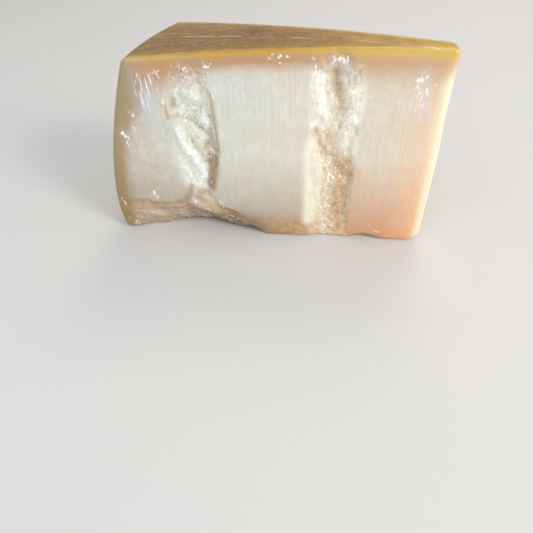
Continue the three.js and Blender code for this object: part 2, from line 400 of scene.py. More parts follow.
# %% Back splits
ACROSS_BACK = (0, 0.12, 0.3, 0.5, 0.7, 0.88, 1)
BROAD_BAND = dict(
    left=[(0, 50), (14, 54), (24, 60.5), (38, 57), (50, 61), (62, 59), (74, 63), (100, 58)],
    right=[(0, 97), (12, 93), (26, 85), (38, 88), (50, 83.5), (66, 87), (80, 83), (100, 86)],
    foot=-20, head=105, crag=0.5, seed=21, ease=(0.08, 0.35), across=ACROSS_BACK,
    chart={
        104: (0, 0.4, 0.7, 0.8, 0.6, 0.3, 0), 94: (0, 2.2, 2.6, 1.9, 1.2, 0.5, 0),
        84: (0, 3.6, 3.0, 2.2, 1.4, 0.6, 0), 76: (0, 3.0, 4.4, 3.6, 1.6, 0.8, 0),
        69: (0, 2.2, 3.4, 4.8, 3.4, 1.2, 0), 61: (0, 3.6, 3.0, 3.0, 4.2, 1.6, 0),
        52: (0, 4.4, 5.0, 3.4, 2.6, 2.0, 0), 42: (0, 3.0, 5.4, 5.0, 3.0, 1.6, 0),
        33: (0, 1.6, 3.0, 4.8, 4.6, 2.2, 0), 22: (0, 2.6, 2.4, 3.0, 4.2, 2.8, 0),
        12: (0, 3.4, 4.2, 3.2, 2.4, 1.6, 0), 0: (0, 2.8, 3.6, 3.0, 2.0, 1.0, 0),
    },
)
NARROW_BAND = dict(
    left=[(20, 138), (30, 133), (44, 129), (58, 130.5), (72, 126.5), (86, 130), (100, 128)],
    right=[(20, 144), (30, 147), (44, 150.5), (56, 148), (70, 151), (84, 147.5), (100, 150)],
    foot=14, head=106, crag=0.4, seed=27, ease=(0.3, 0.08), across=ACROSS_BACK,
    chart={
        106: (0, 0.2, 0.4, 0.6, 0.6, 0.4, 0), 94: (0, 0.6, 1.2, 2.0, 2.6, 1.8, 0),
        84: (0, 0.6, 1.4, 2.6, 2.8, 2.2, 0), 72: (0, 0.8, 2.2, 2.4, 1.8, 1.8, 0),
        60: (0, 0.6, 1.4, 1.8, 2.8, 2.6, 0), 46: (0, 0.6, 1.2, 2.4, 2.4, 1.8, 0),
        34: (0, 0.5, 1.2, 1.8, 1.6, 1.0, 0), 22: (0, 0.2, 0.5, 0.6, 0.4, 0.2, 0),
    },
)
print("back bands are charted at", len(BROAD_BAND["chart"]), "and", len(NARROW_BAND["chart"]))

# %% [markdown]
# ## Back cut face
# Lips and crests cross the bands, and the broken low edge is shallower than in front.
# They are the same strokes and outline as there, so no new tool is needed for them.

# %% Back cut face
UPPER_LIP = [(60, 78), (66, 75), (72, 70), (80, 67), (86, 68)]
MIDDLE_LIP = [(60, 56), (68, 52), (74, 44), (84, 38)]
BACK_CREST = [(64, 68), (70, 60), (80, 56)]
LOW_CREST = [(62, 30), (68, 22), (78, 16)]
BACK = dict(
    bands=[BROAD_BAND, NARROW_BAND],
    broken_edge=[
        (0, 4, 0), (22, 5, 1.5), (38, 9, 3), (52, 12, 6), (64, 8, 7), (76, 14, 7.5), (90, 9, 5),
        (104, 5, 2), (118, 4, 0), (188, 4, 0),
    ],
    lumps=[dict(along=72, height=14, reach=9, flatness=1.5, proud=0.8)],
    strokes=[
        (0.9, 1.2, UPPER_LIP), (0.9, 1.3, MIDDLE_LIP), (-1.1, 2.4, BACK_CREST),
        (-1.0, 2.2, LOW_CREST), (-0.9, 1.8, [(66, 98), (71, 88), (70, 80)]),
        (0.8, 1.2, [(130, 66), (138, 62), (147, 65)]), (-0.7, 1.6, [(138, 92), (142, 78)]),
        (1.0, 1.5, [(46, 12), (58, 10), (70, 6), (86, 8), (98, 4)]),
    ],
    uneven=dict(amount=0.5, width=35, height=50, seed=50),
)
print("strokes on the back:", len(BACK["strokes"]))

# %% [markdown]
# ## Reading a band's chart
# A chart is a coarse grid, so it is read by going straight between its places, as a
# surveyor reads a height between two posts. The borders wander by a millimetre, since
# cheese never splits along a ruler.

# %% Chart of a band
BAND_FADE = 10
WANDER, WANDER_HEIGHT = 0.9, 14
RAGGED, RAGGED_HEIGHT = 0.5, 3


def chart_depth(band, across, height):
    """Depth read from a band's chart, straight between its places."""
    heights = np.array(list(band["chart"]), float)[::-1]
    depths = np.array(list(band["chart"].values()), float)[::-1]
    places = np.array(band["across"])
    row = np.clip(np.searchsorted(heights, height), 1, len(heights) - 1)
    column = np.clip(np.searchsorted(places, across), 1, len(places) - 1)
    up = np.clip((height - heights[row - 1]) / (heights[row] - heights[row - 1]), 0, 1)
    share = (across - places[column - 1]) / (places[column] - places[column - 1])
    share = np.clip(share, 0, 1)
    low = lerp(depths[row - 1, column - 1], depths[row - 1, column], share)
    high = lerp(depths[row, column - 1], depths[row, column], share)
    return lerp(low, high, up)


def band_place(band, along, height):
    """How far across a band each point is, how wide it is, how much of it is there."""
    left, right = (np.interp(height, *zip(*band[side])) for side in ("left", "right"))
    stray = WANDER * noise(height / WANDER_HEIGHT, 0 * height, band["seed"])
    stray = stray + RAGGED * noise(height / RAGGED_HEIGHT, 0 * height, band["seed"] + 60)
    width = right - left
    across = (along - left) / width
    across = across - stray / width * np.clip(1.2 - across, 0.1, 1)
    inside = (across > 0) & (across < 1)
    fade_in = smoothstep(height, band["foot"], band["foot"] + BAND_FADE)
    fade_out = 1 - smoothstep(height, band["head"] - BAND_FADE, band["head"])
    return across, width, inside * fade_in * fade_out


_, width, _ = band_place(LEFT_BAND, np.array([55.0]), np.array([60.0]))
print("the left split 60 mm up is, mm wide:", round(float(width[0]), 1))

# %% [markdown]
# ## Relief of a split band
# Relief is how far the surface lies inside the flat cut. The chart is read at places
# strayed a little, so that its straight lines don't show, and crags, plates, chips and
# crumbs are laid over it, less of them near a soft border.

# %% Relief of a split band
STRAY, STRAY_SIZE = 1.3, 8
PLATE_SIZE, PLATE_DEPTH = 7.0, 0.45
CHIP_SIZE, CHIP_DEPTH = 3.0, 0.30
CRUMB_SIZE, CRUMB_DEPTH = 2.0, 0.20


def band_relief(band, along, height):
    """How deep a split band lies at each point, with its roughness."""
    seed, (left_ease, right_ease) = band["seed"], band["ease"]
    across, width, there = band_place(band, along, height)
    border = smoothstep(across, 0, left_ease) * (1 - smoothstep(across, 1 - right_ease, 1))
    stray = border * STRAY / width
    moved = across + stray * noise(along / STRAY_SIZE, height / STRAY_SIZE, seed + 70)
    lifted = height + STRAY * noise(along / STRAY_SIZE, height / STRAY_SIZE, seed + 71)
    rough = band["crag"] * crags(along, height, seed)
    rough = rough + PLATE_DEPTH * plates(along, height, PLATE_SIZE, seed + 2)
    rough = rough + CHIP_DEPTH * plates(along, height, CHIP_SIZE, seed + 30)
    rough = rough + CRUMB_DEPTH * crumbs(along, height, CRUMB_SIZE, seed + 9)
    return there * (chart_depth(band, moved, lifted) + rough * border)


sample = band_relief(LEFT_BAND, np.linspace(46, 70, 7), np.full(7, 47.0))
print("depth across the left band at 47 mm up:", np.round(sample, 1))

# %% [markdown]
# ## Broken edge, lumps and strokes
# Three simple shapes that a face is finished with. The broken edge cuts under the face
# from its lip down to the foot, a lump is a flake left proud, and a stroke is a groove
# or a ridge with a rounded section along a bent line.

# %% Broken edge, lumps and strokes
def break_relief(outline, along, height):
    """Depth below the lip of the broken edge, growing down to the foot."""
    places, lips, feet = np.array(outline, float).T
    step = np.clip(np.searchsorted(places, along), 1, len(places) - 1)
    share = smoothstep(along, places[step - 1], places[step])
    lip = lerp(lips[step - 1], lips[step], share)
    foot = lerp(feet[step - 1], feet[step], share)
    return foot * np.maximum(0, 1 - height / lip)


def lump_relief(lump, along, height):
    """The negative depth of a flake left proud, fading out at its reach."""
    up = lump["flatness"] * (height - lump["height"])
    distance = np.hypot(along - lump["along"], up) / lump["reach"]
    return -lump["proud"] * (1 - smoothstep(distance, 0, 1))


def stroke_share(line, along, height, width):
    """1 on a bent line, falling off beside it."""
    nearest = np.full_like(along, np.inf)
    for (a0, h0), (a1, h1) in zip(line, line[1:]):
        run_a, run_h = a1 - a0, h1 - h0
        share = ((along - a0) * run_a + (height - h0) * run_h) / (run_a**2 + run_h**2)
        share = np.clip(share, 0, 1)
        distance = np.hypot(along - a0 - share * run_a, height - h0 - share * run_h)
        nearest = np.minimum(nearest, distance)
    return np.exp(-((nearest / width) ** 2))


share = stroke_share(LEDGE, np.array([19.8, 19.8]), np.array([21.0, 23.0]), 1.8)
print("a stroke at its middle and 2 mm beside it:", np.round(share, 2))

# %% [markdown]
# ## Relief of a whole face
# Bands, strokes, lumps, the broken edge and a slow unevenness of the cut add up to the
# whole face. How split the cheese is at each point is worked out beside it, because
# the material needs to know too.

# %% Relief of a whole face
FLAKE_SIZE, FLAKE_DEPTH, FLAKE_FULL = 7, 0.5, 2   # on the broken edge, mm


def face_relief(face, along, height):
    """How far inside the flat cut each point of a face lies."""
    splits = [band_relief(band, along, height) for band in face["bands"]]
    uneven = face["uneven"]
    relief = uneven["amount"] * noise(
        along / uneven["width"], height / uneven["height"], uneven["seed"]
    )
    for lump in face["lumps"]:
        relief = relief + lump_relief(lump, along, height)
    for depth, width, line in face["strokes"]:
        relief = relief + depth * stroke_share(line, along, height, width)
    broken = break_relief(face["broken_edge"], along, height)
    flaked = plates(along, height, FLAKE_SIZE, 33) + 0.5 * plates(along, height, CHIP_SIZE, 37)
    flaked = FLAKE_DEPTH * np.clip(broken / FLAKE_FULL, 0, 1) * flaked
    return relief + broken + flaked + np.maximum.reduce(splits) + np.minimum.reduce(splits)


def splitness(face, along, height):
    """1 in a split band or on the broken edge, 0 on a knife-cut band."""
    found = [np.clip(break_relief(face["broken_edge"], along, height) / FLAKE_FULL, 0, 1)]
    for band in face["bands"]:
        across, _, there = band_place(band, along, height)
        left_ease, right_ease = band["ease"]
        found.append(there * smoothstep(across, 0, left_ease)
                     * (1 - smoothstep(across, 1 - right_ease / 2, 1)))
    for lump in face["lumps"]:
        found.append(-0.8 * lump_relief(lump, along, height) / lump["proud"])
    return np.maximum.reduce(found)


sample = face_relief(FRONT, np.linspace(10, 90, 5), np.full(5, 8.0))
print("depth of the broken edge at 8 mm up:", np.round(sample, 1))

# %% [markdown]
# ## Outline of the wedge
# The flat rind rises a little towards the tip and is crowned by 2 mm, the side rind
# leans in above its belly, and the tip swells by a millimetre low down. Each is one
# short formula of the driving sizes.

# %% Outline of the wedge
def height_at(along):
    share = np.maximum(0, along - RIND_LEAN) / (LENGTH - RIND_LEAN)
    return lerp(HEIGHT_AT_RIND, HEIGHT_AT_TIP, share) + TOP_CROWN * (1 - (2 * share - 1) ** 2)


def length_at(height):
    return LENGTH + TIP_SWELL * (1 - smoothstep(height, TIP_SWELL_FULL, TIP_SWELL_TOP))


def rind_inset(height):
    """How far the side rind leans in above its belly, and below it."""
    above = abs(height - BELLY_HEIGHT) / (HEIGHT_AT_RIND - BELLY_HEIGHT)
    return RIND_LEAN * above**BELLY_POWER


print("rind leans in at the top by, mm:", round(float(rind_inset(HEIGHT_AT_RIND)), 1))

# %% [markdown]
# ## From a block to the wedge
# The chunk is a block in its own sense: along, into the depth, and up. So the surface
# starts as a block's lattice, and its edges are rounded while it is still a block. That
# keeps the lattice even and closed, where remeshing would blur the knife-cut edges.

# %% Rounded block
def edge_share(place, size, low_radius, high_radius):
    """The core place, the signed share of the radius outside it, and the radius."""
    low, high = place < low_radius, place > size - high_radius
    core = np.where(low, low_radius, np.where(high, size - high_radius, place))
    radius = np.where(low, low_radius, np.where(high, high_radius, 1))
    return core, (place - core) / radius, radius


def round_edges(place, size):
    """Moves places on the sharp block, three arrays, onto the rounded block."""
    along, _, height = place
    near_tip = 1 - smoothstep(size[0] - along, 0, CORNER_REACH)
    near_rind = 1 - smoothstep(along, 0, CORNER_REACH)
    near_foot = 1 - smoothstep(height, 0, CORNER_REACH)
    foot_radius = FOOT_EDGE + near_tip * (TIP_FOOT_CORNER - FOOT_EDGE)
    foot_radius = foot_radius + near_rind * (RIND_FOOT_CORNER - FOOT_EDGE)
    radii = [
        (lerp(RIND_EDGE, RIND_FOOT_CORNER, near_foot), lerp(TIP_EDGE, TIP_FOOT_CORNER, near_foot)),
        (CUT_EDGE, CUT_EDGE),
        (foot_radius, RIND_EDGE),
    ]
    parts = [edge_share(p, s, *radius) for p, s, radius in zip(place, size, radii)]
    length = np.sqrt(sum(share**2 for _, share, _ in parts))
    length = np.where(length == 0, 1, length)
    return [core + share / length * radius for core, share, radius in parts]


corner = round_edges([np.zeros(1)] * 3, (LENGTH, 60, HEIGHT_AT_RIND))
print("the sharp low corner at the rind moves in by, mm:", np.round(np.ravel(corner), 1))

# %% [markdown]
# ## Laying the block out round the wheel's axis
# Each place along becomes a distance from the wheel's axis, and each share of the depth
# an angle. The relief then pushes the two cut faces in. It is only worked out where it
# counts, because it is the slowest part.

# %% Lay out the wedge
RELIEF_FADE = 2
NEXT_TO_NOTHING = 0.002
FIRST_BORDER, LAST_BORDER = 41, 146   # the end groups of columns stretch beyond these


def where_it_counts(face, along, height, weight):
    """A face's relief times its weight, left out where the weight is next to nothing."""
    result = np.zeros_like(along)
    near = weight > NEXT_TO_NOTHING
    result[near] = weight[near] * face_relief(face, along[near], height[near])
    return result


def lay_out(column_place, layer_share, row_share):
    """Points of the wedge for lattice places, and what is known of each."""
    rough_height = row_share * height_at(LENGTH / 2)
    inset, length = rind_inset(rough_height), length_at(rough_height)
    stretched_low = inset + (FIRST_BORDER - inset) * column_place / FIRST_BORDER
    tip_share = (column_place - LAST_BORDER) / (LENGTH - LAST_BORDER)
    stretched_high = LAST_BORDER + (length - LAST_BORDER) * tip_share
    along = np.where(column_place < FIRST_BORDER, stretched_low, column_place)
    along = np.where(column_place > LAST_BORDER, stretched_high, along)
    full_height = height_at(along)
    arc = (BELLY_RADIUS - along) * WEDGE_ANGLE
    sharp = (along - inset, layer_share * arc, row_share * full_height)
    from_rind, depth, height = round_edges(sharp, (length - inset, arc, full_height))
    along = from_rind + inset
    depth_share = depth / arc
    angle = depth_share * WEDGE_ANGLE
    tipness = along / LENGTH
    bow = 4 * depth_share * (1 - depth_share) * (1 - tipness) ** SWELL_FADE
    radius = (BELLY_RADIUS - along) * lerp(1, 1 / np.cos(angle), tipness) + RIND_SWELL * bow
    inward = where_it_counts(FRONT, along, height, (1 - depth_share) ** RELIEF_FADE)
    forward = where_it_counts(BACK, along, height, depth_share**RELIEF_FADE)
    x = BELLY_RADIUS - radius * np.cos(angle) - forward * math.sin(WEDGE_ANGLE)
    y = radius * np.sin(angle) + inward - forward * math.cos(WEDGE_ANGLE)
    return np.stack([x, y, height], 1), dict(
        along=along, height=height, depth_share=depth_share, below_top=full_height - height,
        from_rind=from_rind, from_cut=np.minimum(depth, arc - depth),
        split=np.where(depth_share < 0.5, splitness(FRONT, along, height),
                       splitness(BACK, along, height)),
    )


corner, _ = lay_out(np.array([0.0]), np.array([0.0]), np.array([1.0]))
print("top corner at the rind:", np.round(corner[0], 1))

# %% [markdown]
# ## Lattice
# A surface could be cut out of a solid grid, but only the skin of the block's lattice
# is needed. Columns are closer in the split bands, where the crags need them, and
# layers and rows are closer at the edges, which are rounded.

# %% Lattice
def lattice(columns, layers, rows):
    """The surface of a block's lattice: its points' indices and its outward quads."""
    number = -np.ones((columns + 1, layers + 1, rows + 1), int)
    i, j, k = np.indices(number.shape)
    skin = (i % columns == 0) | (j % layers == 0) | (k % rows == 0)
    number[skin] = np.arange(skin.sum())
    quads = []
    for axis in range(3):
        for side, at in ((0, 0), (1, -1)):
            sheet = np.take(number, at, axis)
            corners = [sheet[:-1, :-1], sheet[1:, :-1], sheet[1:, 1:], sheet[:-1, 1:]]
            outward = side == (axis != 1)
            corners = corners if outward else corners[::-1]
            quads.append(np.stack([c.ravel() for c in corners], 1))
    return i[skin], j[skin], k[skin], np.concatenate(quads)


def edged_shares(count, crowding=0.55):
    """Shares from 0 to 1 that are closer together at both ends."""
    even = np.arange(count + 1) / count
    return even - crowding * np.sin(2 * np.pi * even) / (2 * np.pi)


def shell(groups, layers, rows):
    """The whole surface: points, quads and what is known of each point."""
    places = [np.linspace(start, end, count + 1)[1:] for start, end, count in groups]
    places = np.concatenate([[0], *places])
    i, j, k, quads = lattice(len(places) - 1, layers, rows)
    points, known = lay_out(places[i], edged_shares(layers)[j], edged_shares(rows)[k])
    known["top"], known["side"] = (k == rows).astype(float), (i == 0).astype(float)
    return points, quads, known


print("a block of 2 x 2 x 2 cells has", len(lattice(2, 2, 2)[3]), "quads on its skin")

# %% [markdown]
# ## Hollows and drapes
# Moving each point to the mean of its neighbours, over and over, softens a surface. The gap to the
# softened one tells hollows from high spots, where the paste gets its painted shade and painted
# highlight, and pushing points out by it is how stretched film spans a pit. Baked shading and a cloth
# simulation would each do one of the two, and this one measure does both.

# %% Hollows and drapes
def softened(points, quads, rounds):
    """The points after so many rounds of moving to the mean of the quads around them."""
    corners = quads.ravel()
    times = np.bincount(corners)[:, None]
    for _ in range(rounds):
        middles = np.repeat(points[quads].mean(1), 4, axis=0)
        points = np.stack([np.bincount(corners, axis) for axis in middles.T], 1) / times
    return points


def point_normals(points, quads):
    """The outward direction at each point, weighted by the area around it."""
    a, b, c, d = (points[quads[:, n]] for n in range(4))
    flat = np.repeat(np.cross(c - a, d - b), 4, axis=0)
    normals = np.stack([np.bincount(quads.ravel(), axis) for axis in flat.T], 1)
    return normals / np.linalg.norm(normals, axis=1, keepdims=True)


def hollowness(points, quads, normals, rounds):
    """How far each point lies below the softened surface, in millimetres."""
    return np.sum((softened(points, quads, rounds) - points) * normals, 1)


i, j, k, quads = lattice(2, 2, 2)
eased = softened(np.stack([i, j, k], 1).astype(float), quads, 1)
print("one round moves a block's corner by, cells:", np.round(eased[0], 2))

# %% [markdown]
# ## Meshes and painted marks
# A material can't know where film pressed on the cheese or where a flake has just come
# off, so such spots are marked on the points of the mesh. Painting them by hand would
# do, but a soft brush along a short list of bent lines can be read and mended.

# %% Meshes and marks
def make_mesh(name, points, quads, material, marks):
    """A mesh on the frame's body, with its marks as attributes for the material."""
    mesh = bpy.data.meshes.new(name)
    mesh.from_pydata((points * MM).tolist(), [], quads.tolist())
    mesh.shade_smooth()
    for key, values in marks.items():
        mesh.attributes.new(key, "FLOAT", "POINT").data.foreach_set("value", values)
    mesh.materials.append(material)
    made = bpy.data.objects.new(name, mesh)
    bpy.context.scene.collection.objects.link(made)
    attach(made, "root")
    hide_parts("parmesan_chunk")
    print(name, "has", len(mesh.vertices), "points and", 2 * len(quads), "triangles")
    return made


def marked(spots, along, height):
    """The strongest of a list of soft marks (amount, half width, line) at each point."""
    return np.maximum.reduce(
        [amount * stroke_share(line, along, height, width) for amount, width, line in spots]
    )


spot = marked([(0.8, 2.0, [(0, 0), (9, 0)])], np.array([4.0, 4.0]), np.array([0, 2.0]))
print("a mark of 0.8 at its middle and 2 mm beside it:", np.round(spot, 2))

# %% [markdown]
# ## Marks on the front
# Paste is tanned where film is pressed on it, and painted shade darkens it where two flakes meet,
# along the walls of the splits and at the foot. It is pale where it has just broken, with a painted
# highlight on the spots that face the lamp, and the film's painted glints lie on them too, all but on
# the long lit wall of the right split, which is smooth. The broken foot is browned and dull where
# crumbs have dried on it, with painted shade where it faces down.

# %% Marks on the front
# Tan where film presses on the paste, and painted shade in grooves, along the walls of the splits and
# at the foot.
WET_AND_SHADE_MARKS = [   # amount, half width, line of (along, up)
    (0.9, 3.0, [(131.5, 98), (133.5, 90), (134.5, 83)]), (0.7, 2.6, [(131, 66), (133.5, 60)]),
    (0.7, 2.0, [*HOLLOW_RIM, (140, 53)]), (1.0, 4.5, [(133, 48), (138, 50), (142, 44)]),
    (1.0, 4.0, [(138.5, 36), (139.5, 22)]), (0.9, 7.0, [(136, 50), (137, 5)]),
    (0.3, 2.0, [(142.5, 52), (142.5, 4)]), (0.5, 5.0, [(131, 47), (132, 30), (134, 12)]),
    (0.7, 1.8, [(49, 85.5), (48.6, 82)]), (0.5, 4.0, [(62, 97), (64, 94)]),
    (0.6, 2.0, [*SLAB_SEAM, (63, 48)]), (0.8, 2.6, [(63, 48), (64, 41), (62, 34)]),
    (0.8, 1.1, [(70.2, 88), (70.4, 56)]), (0.9, 2.0, [(68.5, 54), (66.5, 42), (64, 33)]),
    (0.4, 3.5, [(66, 63), (67, 58)]), (0.9, 2.8, [(64, 60), (65.5, 50), (63.5, 40)]),
    (0.4, 1.6, SLAB_LIP), (0.6, 1.4, [(43.8, 82), (44.4, 75)]),
    (0.8, 2.4, LEFT_GROOVE), (0.9, 2.8, FLAKE_GROOVE), (0.8, 2.4, LEDGE),
    (0.9, 2.6, [(54, 26), (59, 22.5), (62, 17)]), (0.5, 3.5, [(49, 22.5), (56, 20.5), (62, 15)]),
    (0.8, 2.4, LOWER_LEDGE), (0.8, 2.2, LOBE_EDGE), (0.6, 5.0, [(70, 12), (80, 7)]),
    (0.8, 7.0, [(98, 7), (108, 6), (122, 4)]), (0.5, 3.0, [(6, 8), (6, 14)]),
]
FRESH_AND_LIT_MARKS = [   # fresh high spots, and painted highlights where they face the lamp; the film's painted glints lie on them too
    (0.95, 3.4, [(54, 55), (57, 48), (59, 40)]), (0.75, 2.8, [(49.5, 69), (50.5, 62), (54, 55)]),
    (0.65, 3.0, [(58, 65.5), (61, 63.5)]), (0.85, 2.6, [(64.3, 76), (65, 71.5)]),
    (0.75, 2.8, [(60, 89), (64, 85)]), (0.60, 3.0, [(53, 80), (52, 78)]),
    (0.60, 2.0, [(50, 87.5), (53, 86)]), (0.60, 5.0, [(57, 100), (60, 91)]),
    (0.65, 2.4, [(65.5, 56), (68.5, 53)]), (0.60, 6.0, [(49, 52), (51, 38)]),
    (0.95, 3.4, [(124, 97), (124.5, 88), (126.5, 80)]), (0.65, 2.8, [(131, 86), (133.5, 84)]),
    (1.0, 2.8, [(143.8, 91), (144.2, 84), (143.2, 76)]), (0.75, 4.0, [(139, 76), (141, 58)]),
    (0.70, 2.0, [(121.5, 73), (124, 75)]), (0.30, 2.6, [(120.5, 62), (120, 50), (119.5, 12)]),
    (0.4, 3.0, [(124, 50), (125, 38), (124, 26)]),
    (0.85, 2.4, [(130.5, 104), (136, 103.5)]), (0.25, 3.0, [(52, 22), (58, 18)]),
    (0.32, 4.0, [(16, 12), (40, 10)]), (0.45, 2.2, [(61, 27.5), (66, 22)]),
]
LIT_WALL_MARKS = [(1.0, 3.2, [(121, 63), (120.5, 50), (120, 12)])]   # a painted highlight on the lit wall, without glints
CRUMBS_AND_SHADE_MARKS = [   # dried crumbs, with painted shade in deep seams and on the foot that faces down
    (0.8, 3.5, [(66, 14), (76, 9)]), (0.7, 8.0, [(82, 8), (94, 5), (110, 3)]),
    (1.0, 1.5, LOBE_EDGE), (0.45, 4.0, [(49, 22), (60, 18)]),
    (0.6, 1.5, [(68.7, 56), (66.7, 44), (64.4, 33)]),
]
print("marks on the front:", len(WET_AND_SHADE_MARKS + FRESH_AND_LIT_MARKS + LIT_WALL_MARKS + CRUMBS_AND_SHADE_MARKS))

# %% [markdown]
# ## Marks behind, and the crust's reach
# The back is marked in the same way: painted shade under its lips and along its walls, and painted
# highlights on its crests. The crust doesn't reach equally far down everywhere, so its reach is
# listed along the face and up it. A noise would vary it too, but not where this chunk does.

# %% Marks behind and the crust's reach
WET_AND_SHADE_MARKS_BEHIND = [
    (0.7, 2.4, UPPER_LIP), (0.8, 2.4, MIDDLE_LIP), (0.6, 3.0, [(62, 92), (62.5, 80)]),
    (0.7, 3.0, [(64, 46), (70, 36), (78, 30)]), (0.6, 4.0, [(60, 10), (84, 8)]),
    (0.6, 2.6, [(147, 96), (147.5, 82)]), (0.6, 2.2, [(130, 66), (138, 62), (147, 65)]),
    (0.6, 2.6, [(146, 56), (144, 44)]),
]
FRESH_AND_LIT_MARKS_BEHIND = [
    (0.9, 3.4, BACK_CREST), (0.9, 3.2, LOW_CREST), (0.9, 3.0, [(66, 98), (71, 88), (72, 80)]),
    (0.7, 4.0, [(78, 98), (80, 86)]), (0.8, 3.0, [(64, 62), (63, 56)]),
    (0.7, 3.0, [(84, 50), (86, 42)]), (0.7, 3.0, [(80, 28), (84, 20)]),
    (0.9, 2.8, [(133, 96), (135, 84)]), (0.8, 2.4, [(138, 92), (142, 78)]),
    (0.8, 2.4, [(131, 58), (134, 48)]), (0.6, 2.4, [(136, 36), (140, 30)]),
]
GOLD_MM = 1.8   # the gold under the rind is as wide everywhere
TOP_REACH = [   # along, how many times its usual depth the top's crust reaches
    (0, 1.3), (15, 1.6), (28, 2.3), (42, 2.2), (55, 1.7), (72, 1.0), (115, 1.0), (130, 0.95),
    (150, 1.35), (188, 1.5),
]
SIDE_REACH = [(0, 1.15), (60, 1.0), (85, 1.8), (105, 2.1)]   # up, and the same of the side's
print("marks behind:", len(WET_AND_SHADE_MARKS_BEHIND + FRESH_AND_LIT_MARKS_BEHIND))

# %% [markdown]
# ## The cheese's surface
# It is laid out finely enough for chips of 3 mm, and set about the middle of the solid's
# box. A ready-made displacement would roughen the rind and the rounded edges too, and
# here only the two cut faces are carved.

# %% The cheese's surface
CHEESE_GROUPS = [(0, 40, 44), (40, 71.5, 68), (71.5, 118, 44), (118, 146, 60), (146, LENGTH, 36)]
CHEESE_LAYERS, CHEESE_ROWS = 24, 148
CLEAR_OF_FLOOR = 0.3

points, quads, known = shell(CHEESE_GROUPS, CHEESE_LAYERS, CHEESE_ROWS)
shift = np.array([*(-(points[:, n].min() + points[:, n].max()) / 2 for n in (0, 1)), 0])
points = points + shift
points[:, 2] = np.maximum(points[:, 2], CLEAR_OF_FLOOR)
print("the cheese is set off by, mm:", np.round(shift, 1))

# %% [markdown]
# ## What the material needs to know
# For each point: how far it is below the rind and from the side, on which side of the
# corner between them, how near a cut edge, how split, and how deep in a hollow. A
# material could guess some of it from places alone, but attributes that go with the
# mesh are exact, and it reads them back as plain numbers.

# %% Marks of the cheese
HOLLOW_ROUNDS = 80
BROKEN_FULL = 1.5   # how deep the broken edge is, in mm, where its crumbs and painted shade are full
CORNER_MM = 3   # over which the top's crust turns into the side's
SMUDGE = [(-3, -6), (-2, 10)]   # a darker rubbed place on top, x and y
along, height = known["along"], known["height"]
front, behind = known["depth_share"] < 0.3, known["depth_share"] > 0.7
below_top = known["below_top"]
beyond_gold = np.maximum(0, below_top - GOLD_MM) / np.interp(along, *zip(*TOP_REACH))
below_top = np.minimum(below_top, GOLD_MM) + beyond_gold
from_side = known["from_rind"] / np.interp(height, *zip(*SIDE_REACH))
normals = point_normals(points, quads)
hollow = hollowness(points, quads, normals, HOLLOW_ROUNDS)
broken = np.clip(break_relief(FRONT["broken_edge"], along, height) / BROKEN_FULL, 0, 1)
cheese_marks = {
    "crust_mm": np.minimum(below_top, from_side),
    "side_crust": smoothstep(below_top - from_side, -CORNER_MM, CORNER_MM),
    "top_rind": known["top"], "side_rind": known["side"] * (1 - known["top"]),
    "cut_mm": known["from_cut"], "split": known["split"], "hollow_mm": hollow,
    "wet_and_shade": front * marked(WET_AND_SHADE_MARKS, along, height)
    + behind * known["split"] * marked(WET_AND_SHADE_MARKS_BEHIND, along, height),
    "crumbs_and_shade": front * np.maximum(broken, marked(CRUMBS_AND_SHADE_MARKS, along, height)),
    "fresh_and_lit": front * marked(FRESH_AND_LIT_MARKS + LIT_WALL_MARKS, along, height)
    + behind * marked(FRESH_AND_LIT_MARKS_BEHIND, along, height),
    "smudge": stroke_share(SMUDGE, points[:, 0], points[:, 1], 6.0),
}
print("hollows and high spots, mm:", round(hollow.max(), 2), round(hollow.min(), 2))

# %% [markdown]
# ## Patterns in the cheese
# Everything that varies in the cheese is read from a few patterns. Clouds are named for
# their size in millimetres, from 0.9, one grain, to 38, a blotch of the rind, and the
# knife's streaks are clouds drawn out upwards. Painted maps would need the mesh to be
# unwrapped, and noise in real millimetres fits it from every side.

# %% Patterns in the cheese
CLOUD_DETAIL = {0.9: 2.0, 1.8: 4.0, 3: 3.0, 9: 3.0, 16: 3.0, 38: 5.0}   # size: octaves
STREAK_SCALE = (0.9, 0.9, 0.016)   # per mm, so 1.1 mm wide and 62 mm tall
RIND_TO_TIP = {"From Min": -85, "From Max": 85}

cheese_material, tree = new_material("aged_parmesan")
place = add(tree, "VectorMath", {
    0: add(tree, "TexCoord").outputs["Object"], "Scale": 1 / MM,
}, operation="SCALE")   # millimetres from the middle of the underside
axes = add(tree, "SeparateXYZ", {"Vector": place}).outputs
marks = {name: add(tree, "Attribute", attribute_name=name).outputs["Fac"] for name in cheese_marks}
clouds = {
    size: add(tree, "TexNoise", {"Vector": place, "Scale": 1 / size, "Detail": detail})
    for size, detail in CLOUD_DETAIL.items()
}
tipward = add(tree, "MapRange", {"Value": axes["X"], **RIND_TO_TIP})
upright = add(tree, "Mapping", {"Vector": place, "Scale": STREAK_SCALE})
streak = add(tree, "TexNoise", {"Vector": upright, "Scale": 1.0, "Detail": 2.0})
print("cloud patterns, mm:", list(clouds))

# %% [markdown]
# ## Coats of colour
# Food is hardly ever one colour. A painter lays a ground and thin coats over it, and so
# does this: a coat is a row that says where it lies, by which pattern or mark and
# between which of its values, how much of it, and its colour. A row is easier to mend
# than three nodes in a web of a hundred.

# %% Coats of colour
AS_IS = (0, 1)   # the coat follows its mark just as it is


def coated(tree, colour, coats):
    """The colour with coats over it: (value, (none at, full at), how much, colour)."""
    for value, (none_at, full_at), most, coat in coats:
        share = add(tree, "MapRange", {
            "Value": value, "From Min": none_at, "From Max": full_at, "To Max": most,
        })
        colour = add(tree, "Mix", {"Factor": share, "A": colour, "B": coat}, data_type="RGBA")
    return colour


print("marks to coat by:", list(marks))
